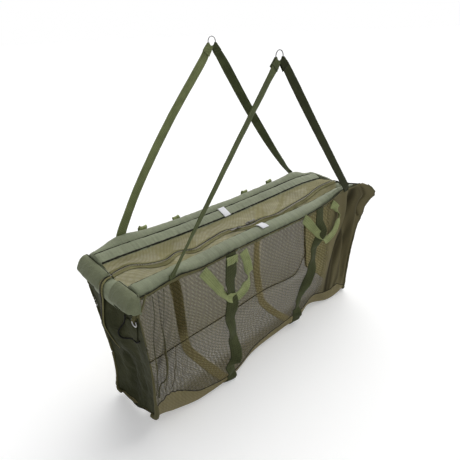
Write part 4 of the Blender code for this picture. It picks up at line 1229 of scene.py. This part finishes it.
def make_end_zips(left_panel):
    paths = {
        "left": metres([
            (-519, 9.5, 504.5), (-536, 6, 504.5), (-552, -2, 498.5), (-560.5, -10, 484),
            (-560.5, -8, 465), (-560.5, 0, 440),
        ]),
        "right": metres([
            (519, -12, 492.5), (534, -12, 486), (549, -12, 480), (556.5, -12, 467), (555, -12, 452),
            (545, -12, 434), (530, -12, 405),
        ]),
    }
    # Lower down, the left one lies on the end's cloth
    for y, z in ((0.008, 0.414), (0.01, 0.385), (0.01, 0.363), (0.01, 0.323), (0.01, 0.288), (0.01, 0.264)):
        paths["left"].append((panel_x(left_panel, y, z) - 0.003, y, z))
    side = Vector((0, 1, 0))
    for end, points in paths.items():
        obj = strap(f"{end}_end_zip_band", points, 0.017, ("tape", "sack", "zip_tape"), ALONG_Y, 60,
                    0.001, 0.0015, 0.001)
        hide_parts(f"{end}_end_zip_tape")
        line = even(points, 110)
        teeth = []
        for i, p in enumerate(line):
            along = (line[min(109, i + 1)] - line[max(0, i - 1)]).normalized()
            up = along.cross(side)
            if up.dot(Vector((SIGN[end], 0, 0.4))) < 0:
                up = -up
            teeth.append(lambda c, p=p, along=along, up=up: (
                p + along * c.x * 0.0018 + side * c.y * 0.0052 + up * (0.0016 + c.z * 0.0018)))
        obj = teeth_row(f"{end}_end_zip_comb", teeth, ("teeth", "sack", "zip_teeth"))
        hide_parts(f"{end}_end_zip_chain")


# Webbing

BELLY_WIDTH = 0.038
# How much painted glow shows over each belly strap, on the far wall and under the sack
STRAP_GLOW = {"left": (0.0, 0.6), "right": (0.62, 0.85)}
# Rows of (s, x, turn in degrees) along each belly strap, from the float to the bottom's middle
BELLY_WAYS = {
    ("left", "near"): [
        (0.0, -0.204, 0), (0.12, -0.212, 14), (0.22, -0.214, -12), (0.3, -0.219, 34), (0.4, -0.226, 10),
        (0.52, -0.222, -14), (0.64, -0.216, 8), (0.72, -0.214, 34), (0.79, -0.224, 58), (0.84, -0.236, 20),
        (0.92, -0.234, -14), (1.05, -0.23, 12), (1.4, -0.24, 0), (1.75, -0.248, 0),
    ],
    ("left", "far"): [
        (0.0, -0.254, 0), (0.25, -0.25, 6), (0.5, -0.234, -8), (0.75, -0.232, 6), (1.0, -0.236, 0),
        (1.4, -0.246, 0), (1.75, -0.248, 0),
    ],
    ("right", "near"): [
        (0.0, 0.243, 0), (0.1, 0.242, 10), (0.17, 0.245, 52), (0.26, 0.228, 18), (0.38, 0.222, -10),
        (0.5, 0.205, 26), (0.6, 0.176, 42), (0.7, 0.164, 14), (0.84, 0.15, -12), (0.96, 0.146, 30),
        (1.08, 0.152, 16), (1.4, 0.15, 0), (1.75, 0.148, 0),
    ],
    ("right", "far"): [
        (0.0, 0.196, 0), (0.25, 0.206, -6), (0.5, 0.196, 8), (0.75, 0.192, -6), (1.0, 0.19, 0),
        (1.4, 0.166, 0), (1.75, 0.148, 0),
    ],
}


def make_belly_straps():
    for (end, side), rows in BELLY_WAYS.items():
        def shape(u, v, rows=rows, side=side):
            s = MIDDLE * v
            x, degrees = value_at(rows, s)
            degrees += 5.0 * rough((0.0, v * 0.5, 0.0), 0.03, 3.0)
            turn = math.radians(degrees) * smooth((1.5 - s) / 0.2)
            t = 2 * u - 1
            across = t * BELLY_WIDTH / 2
            slack = 0.0016 * (1.0 - smooth((s - 1.1) / 0.3)) * (1 + rough((0.0, v, 0.0), 0.07, 8.0))
            lift = 0.002 + slack + abs(math.sin(turn)) * BELLY_WIDTH / 2 + across * math.sin(turn)
            middle = skin(side, x, s, lift + 0.0012 * (1 - t**2))
            return middle + Vector((across * math.cos(turn), 0.0, 0.0))

        obj = surface(f"{end}_belly_{side}", shape, (8, 150), (BELLY_WIDTH, 0.62),
                      ("belly", "sack", "strap_webbing"), flip=side == "far", thick=0.0015)
        if side == "near":
            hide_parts(f"{end}_belly_strap")


def make_belly_fold():
    """The turned-over end at the top of the near left belly strap, drawn in the paler handle webbing: a
    painted highlight where light falls on the fold.
    """

    def shape(u, v):
        across = (2 * u - 1) * 0.023
        p = skin("near", -0.206 + across, lerp(0.01, 0.058, v) + 0.01 * u, 0.0105)
        p.y -= 0.0014 * arch(v)
        return p

    surface("left_belly_fold", shape, (12, 8), (BELLY_WIDTH, 0.02), ("handle", "sack", "strap_webbing"),
            thick=0.0013)


HANDLE_WIDTH = [(0.0, 0.034), (0.2, 0.031), (0.4, 0.028), (0.55, 0.032), (0.72, 0.031),
                (0.86, 0.027), (1.0, 0.033)]
# Each handle's way as (x, y outwards, z) in mm, and its turns as (place, x, y outwards, z)
HANDLES = {
    "left": (
        metres([
            (-316, 135.5, 486), (-303, 136.5, 466), (-286, 138.5, 438), (-264, 141, 402),
            (-244, 143, 370), (-222, 144, 349), (-196, 144, 341), (-168, 144, 350), (-149, 143, 372),
            (-140, 141.5, 404), (-143, 139, 442), (-156, 135.5, 484),
        ]),
        [(0.0, 1, 0, 0), (0.1, 0.95, 0.2, 0.3), (0.25, 0.75, 0.45, 0.55), (0.36, 0.5, -0.75, 0.7),
         (0.45, 0.25, -0.3, 0.9), (0.55, 0.0, -0.1, 1.0), (0.66, -0.5, -0.2, 0.8), (0.75, -0.75, 0.6, 0.3),
         (0.82, -0.7, -0.75, 0.1), (0.92, -1, -0.2, 0), (1.0, -1, 0, 0)],
    ),
    "right": (
        metres([
            (146, 135.5, 484), (166, 137, 466), (194, 140, 434), (226, 143, 400), (254, 144, 371),
            (280, 144, 351), (306, 144, 352), (334, 144, 367), (353, 143, 390), (364, 141, 422),
            (352, 138, 456), (318, 135.5, 485),
        ]),
        [(0.0, 1, 0, 0), (0.1, 0.85, 0.35, 0.3), (0.25, 0.5, 0.75, 0.55), (0.4, 0.2, -0.75, 0.6),
         (0.5, 0.0, -0.2, 1.0), (0.62, -0.6, -0.1, 0.8), (0.74, -0.95, 0.0, 0.2), (0.83, -0.6, 0.85, -0.1),
         (0.91, -0.95, -0.4, 0), (1.0, -1, 0, 0)],
    ),
}


def make_handles():
    for end, (way, turns) in HANDLES.items():
        for side in ("near", "far"):
            points = [(x, SIGN[side] * y, z) for x, y, z in way]
            across = [(at, x, SIGN[side] * y, z) for at, x, y, z in turns]
            name = f"{side}_{end}"
            look = ("handle", f"{name}_grip", "handle_webbing")
            obj = strap(f"{name}_grip_web", points, HANDLE_WIDTH, look, across, 70, curl=0.0012,
                        wobble=0.0015)
            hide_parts(f"{name}_handle")


# Each far tab: its x, the height of its fold and how far that leans
FAR_TABS = [(-0.332, 0.5405, 0.006), (-0.198, 0.53, -0.003), (0.126, 0.525, 0.004), (0.271, 0.529, -0.003)]


def make_far_tabs():
    """Short folds of webbing where the far handles are sewn over the float's outer edge."""
    for k, (x, top, leaning) in enumerate(FAR_TABS):
        points = [(x, 0.142, top - 0.05), (x, 0.1425, top - 0.03)]
        for t in range(13):
            out, up = math.cos(math.pi * t / 12), math.sin(math.pi * t / 12)
            points.append((x + leaning * up, 0.1375 + 0.0045 * out, top - 0.007 + 0.007 * up))
        points += [(x, 0.133, top - 0.016), (x, 0.1325, top - 0.03)]
        strap(f"far_tab_{k + 1}", points, 0.024, ("handle", "sack", "handle_webbing"),
              [(0.0, 1, 0, 0.05), (1.0, 1, 0, 0.05)], 50, 0.0014, 0.0006, 0.0008)


STRAP_Y = 0.1348
FOOT_Z = 0.5195
RING_Z = {"near": 1.016, "far": 1.052}
RING_RADIUS = 0.015
# Each weigh strap leg: its material (a lit or shaded copy of the leg webbing, painted light and shade), how
# far it bows, its width at the foot and its turns (place, angle)
LEGS = {
    ("near", "left"): ("leg_part_shaded", -0.002, 0.02, [
        (0.0, 0.3), (0.03, 0.43), (0.08, 0.56), (0.15, 0.6), (0.22, 0.52), (0.3, 0.46), (0.46, 0.41),
        (0.57, 0.38), (0.68, 0.37), (0.78, 0.34), (0.86, 0.29), (0.94, 0.26), (1.0, 0.0)]),
    ("near", "right"): ("leg_most_shaded", 0.002, 0.032, [
        (0.06, 0.042), (0.16, 0.12), (0.5, 0.102), (0.8, 0.108), (0.93, 0.036), (1.0, 0.0)]),
    ("far", "left"): ("leg", -0.022, 0.032, [
        (0.06, 0.035), (0.16, 0.1), (0.5, 0.085), (0.8, 0.09), (0.93, 0.03), (1.0, 0.0)]),
    ("far", "right"): ("leg_more_shaded", 0.014, 0.018, [
        (0.05, -0.4), (0.12, -0.28), (0.27, 0.0), (0.5, 0.6), (0.8, 0.76), (0.93, 0.25), (1.0, 0.0)]),
}


def make_weigh_straps():
    for (side, end), (mat, slack, foot_width, turns) in LEGS.items():
        sign, way = SIGN[side], SIGN[end]
        name = f"{side}_{end}"
        look = (mat, f"{side}_strap", "strap_webbing")
        foot = Vector((way * FEET_X, sign * STRAP_Y, FOOT_Z))
        centre = Vector((0.0, sign * STRAP_Y, RING_Z[side]))
        along = (centre - foot).normalized()
        held = centre - along * RING_RADIUS
        flat = Vector((-along.z, 0.0, along.x)) * way
        bow = flat * slack
        line = [foot + Vector((0, 0, 0.0006)), foot + along * 0.05 + bow * 0.5, foot + along * 0.2 + bow,
                foot + along * 0.4 + bow * 0.8, held - along * 0.06, held - along * 0.012]
        line = [p + Vector((0, sign * 0.0036 * k / 5, 0)) for k, p in enumerate(line)]
        across = [(at, *(flat * math.cos(turn) + Vector((0, 1, 0)) * math.sin(turn))) for at, turn in turns]
        if turns[0][0] > 0.0:
            # The leg lies flat on its sewn foot before it turns
            across.insert(0, (0.0, -way, 0.0, 0.0))
        widths = [(0.0, foot_width), (0.06, 0.5 * (foot_width + 0.03)), (0.14, 0.03), (0.9, 0.03),
                  (1.0, 0.027)]
        leg = strap(f"{name}_leg_web", line, widths, look, across, 90, wobble=0.0008)
        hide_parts(f"{name}_strap_leg")
        make_ring_loop(name, centre, along, flat, Vector((0, sign, 0)), look)
        foot_line = [(foot.x, sign * 0.1336, foot.z + up) for up in steps(0.004, -0.012, 6)]
        piece = strap(f"{name}_foot_web", foot_line, foot_width, (mat, "sack", "strap_webbing"), ALONG_X, 14,
                      wobble=0.0006)
        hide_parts(f"{name}_strap_foot")


def make_ring_loop(name, centre, along, flat, outer, look):
    """The leg's end, wrapped round its quarter of the ring and sewn back on itself."""
    wrap, half = 0.0031, 0.0112

    def shape(u, v):
        t = 2 * u - 1
        turn = t * half / RING_RADIUS
        radial = -along * math.cos(turn) + flat * math.sin(turn)
        wire = centre + radial * RING_RADIUS
        edge = wire + radial * wrap * 0.6
        if v < 0.3:
            k = v / 0.3
            reach = RING_RADIUS + 0.024 * (1 - k) + wrap * k * 0.2
            base = centre - along * reach + flat * t * lerp(0.0138, half, k)
            return base.lerp(edge + outer * wrap, smooth(k)) + outer * lerp(0.0042, 0.0, smooth(k))
        if v < 0.7:
            angle = math.pi * (v - 0.3) / 0.4
            return wire - radial * math.sin(angle) * wrap + outer * math.cos(angle) * wrap
        k = (v - 0.7) / 0.3
        base = centre - along * (RING_RADIUS + 0.027 * k) + flat * t * lerp(half, 0.0146, k)
        return (edge - outer * wrap).lerp(base, smooth(k)) - outer * lerp(0.0, 0.0012, smooth(k))

    surface(f"{name}_ring_web", shape, (10, 40), (0.027, 0.09), look, thick=0.0014)
    row = centre - along * (RING_RADIUS + 0.021)
    stitches = [row + flat * x + outer * 0.0052 for x in steps(-0.0125, 0.0125, 21)]
    tube(f"{name}_ring_stitch", stitches, 0.0006, ("thread", *look[1:]))


# Small pieces


def make_end_ring_tab():
    """The folded tab that holds the small ring at the near left corner."""
    y, back = -0.113, -0.5272
    axis_x, axis_z, radius = -0.5325, 0.43, 0.0034
    points = [(back, y, 0.462), (back, y, 0.446), (back, y, 0.436)]
    for k in range(9):
        angle = math.radians(20 - 220 * k / 8)
        points.append((axis_x + math.cos(angle) * radius, y, axis_z + math.sin(angle) * radius))
    points += [(back - 0.0024, y, 0.4385), (back - 0.0022, y, 0.446), (back - 0.0021, y, 0.452)]
    obj = strap("end_ring_web", points, 0.014, ("binding", "sack", "zip_tape"), ALONG_Y, 60, 0.0014)
    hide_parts("end_ring_tab")


def make_pocket(left_panel):
    """The square of doubled nylon beside the ring, with its cord edge, as places (y, z) on the left end."""
    corners = [Vector(c) for c in ((-0.064, 0.412), (-0.03, 0.336), (-0.1, 0.346), (-0.126, 0.424))]

    def shape(u, v):
        y, z = corners[0].lerp(corners[3], u).lerp(corners[1].lerp(corners[2], u), v)
        puff = 0.002 * arch(u) * arch(v)
        return Vector((panel_x(left_panel, y, z) - 0.0022 - puff, y, z))

    obj = surface("left_end_pocket", shape, (16, 16), (0.05, 0.055), ("end", "sack", "end_nylon"),
                  thick=0.001)
    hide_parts("left_end_patch")
    way = metres([
        (-67, 424), (-63, 408), (-52, 388), (-36, 360), (-32, 342), (-40, 332), (-68, 338), (-101, 346),
        (-119, 364),
    ])
    line = even([(panel_x(left_panel, y, z) - 0.0042, y, z) for y, z in way], 60)
    cord("left_pocket_piping", line, 0.0019, (0.2, 0.01, 2.0), ("cord", "sack", "end_nylon"), 8)


def make_patches():
    """The bare pale patches over the floats' ridges."""
    for side, x, low, high in (("near", -0.04, 4.6, 8.0), ("far", -0.036, 0.2, 5.2)):
        def shape(u, v, side=side, x=x, low=low, high=high):
            slant = 0.0285 * (u - 0.5) + 0.004 * (v - 0.5)
            out = 0.0034 + 0.0004 * rough((u * 0.02, v * 0.03, 1.0), 0.01, 2.0)
            return float_point(side, x + slant, lerp(low, high, v), out)

        obj = surface(f"{side}_pale_patch", shape, (10, 24), (0.0265, 0.045), ("patch", "sack", "pale_patch"),
                      flip=side == "near", thick=0.0006)
        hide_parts(f"{side}_label_patch")


# Put together

make_camera()
make_world()
make_floor()
soft_sun("key", (-0.78, -0.28, -1.0), 2.55, 72.0, (1.0, 0.995, 0.98))
soft_sun("front", (0.35, 0.9, -0.5), 0.42, 80.0, (0.98, 0.99, 1.0))

make_walls()
make_bottom()
make_fold_lines()
make_end_cloths()
make_end_glow_lining()
for float_side in ("near", "far"):
    make_float(float_side)
    make_edge_tape(float_side)
    make_mouth(float_side)
make_end_pads()
make_pad_piping()
make_bridges()
left_end = end_surface("left")
left_end_points = [left_end(i / 60, j / 60) for i in range(61) for j in range(61)]
make_end_zips(left_end_points)
make_belly_straps()
make_belly_fold()
make_handles()
make_far_tabs()
make_weigh_straps()
make_end_ring_tab()
make_pocket(left_end_points)
make_patches()

# The CAD's own metal pieces, which show as they are
METALS = {
    "steel": ("near_weigh_ring", "far_weigh_ring"),
    "bright": ("end_ring",),
    "zip_metal": ("left_slider", "right_slider", "left_pull_tab", "right_pull_tab"),
}
for metal_name, metal_nodes in METALS.items():
    for node in metal_nodes:
        for metal_slot in NODES[node].material_slots:
            metal_slot.material = MATS[metal_name]

bpy.context.scene.view_settings.view_transform = "Standard"


def numbers(box):
    return [[float(c) for c in corner_point] for corner_point in box]
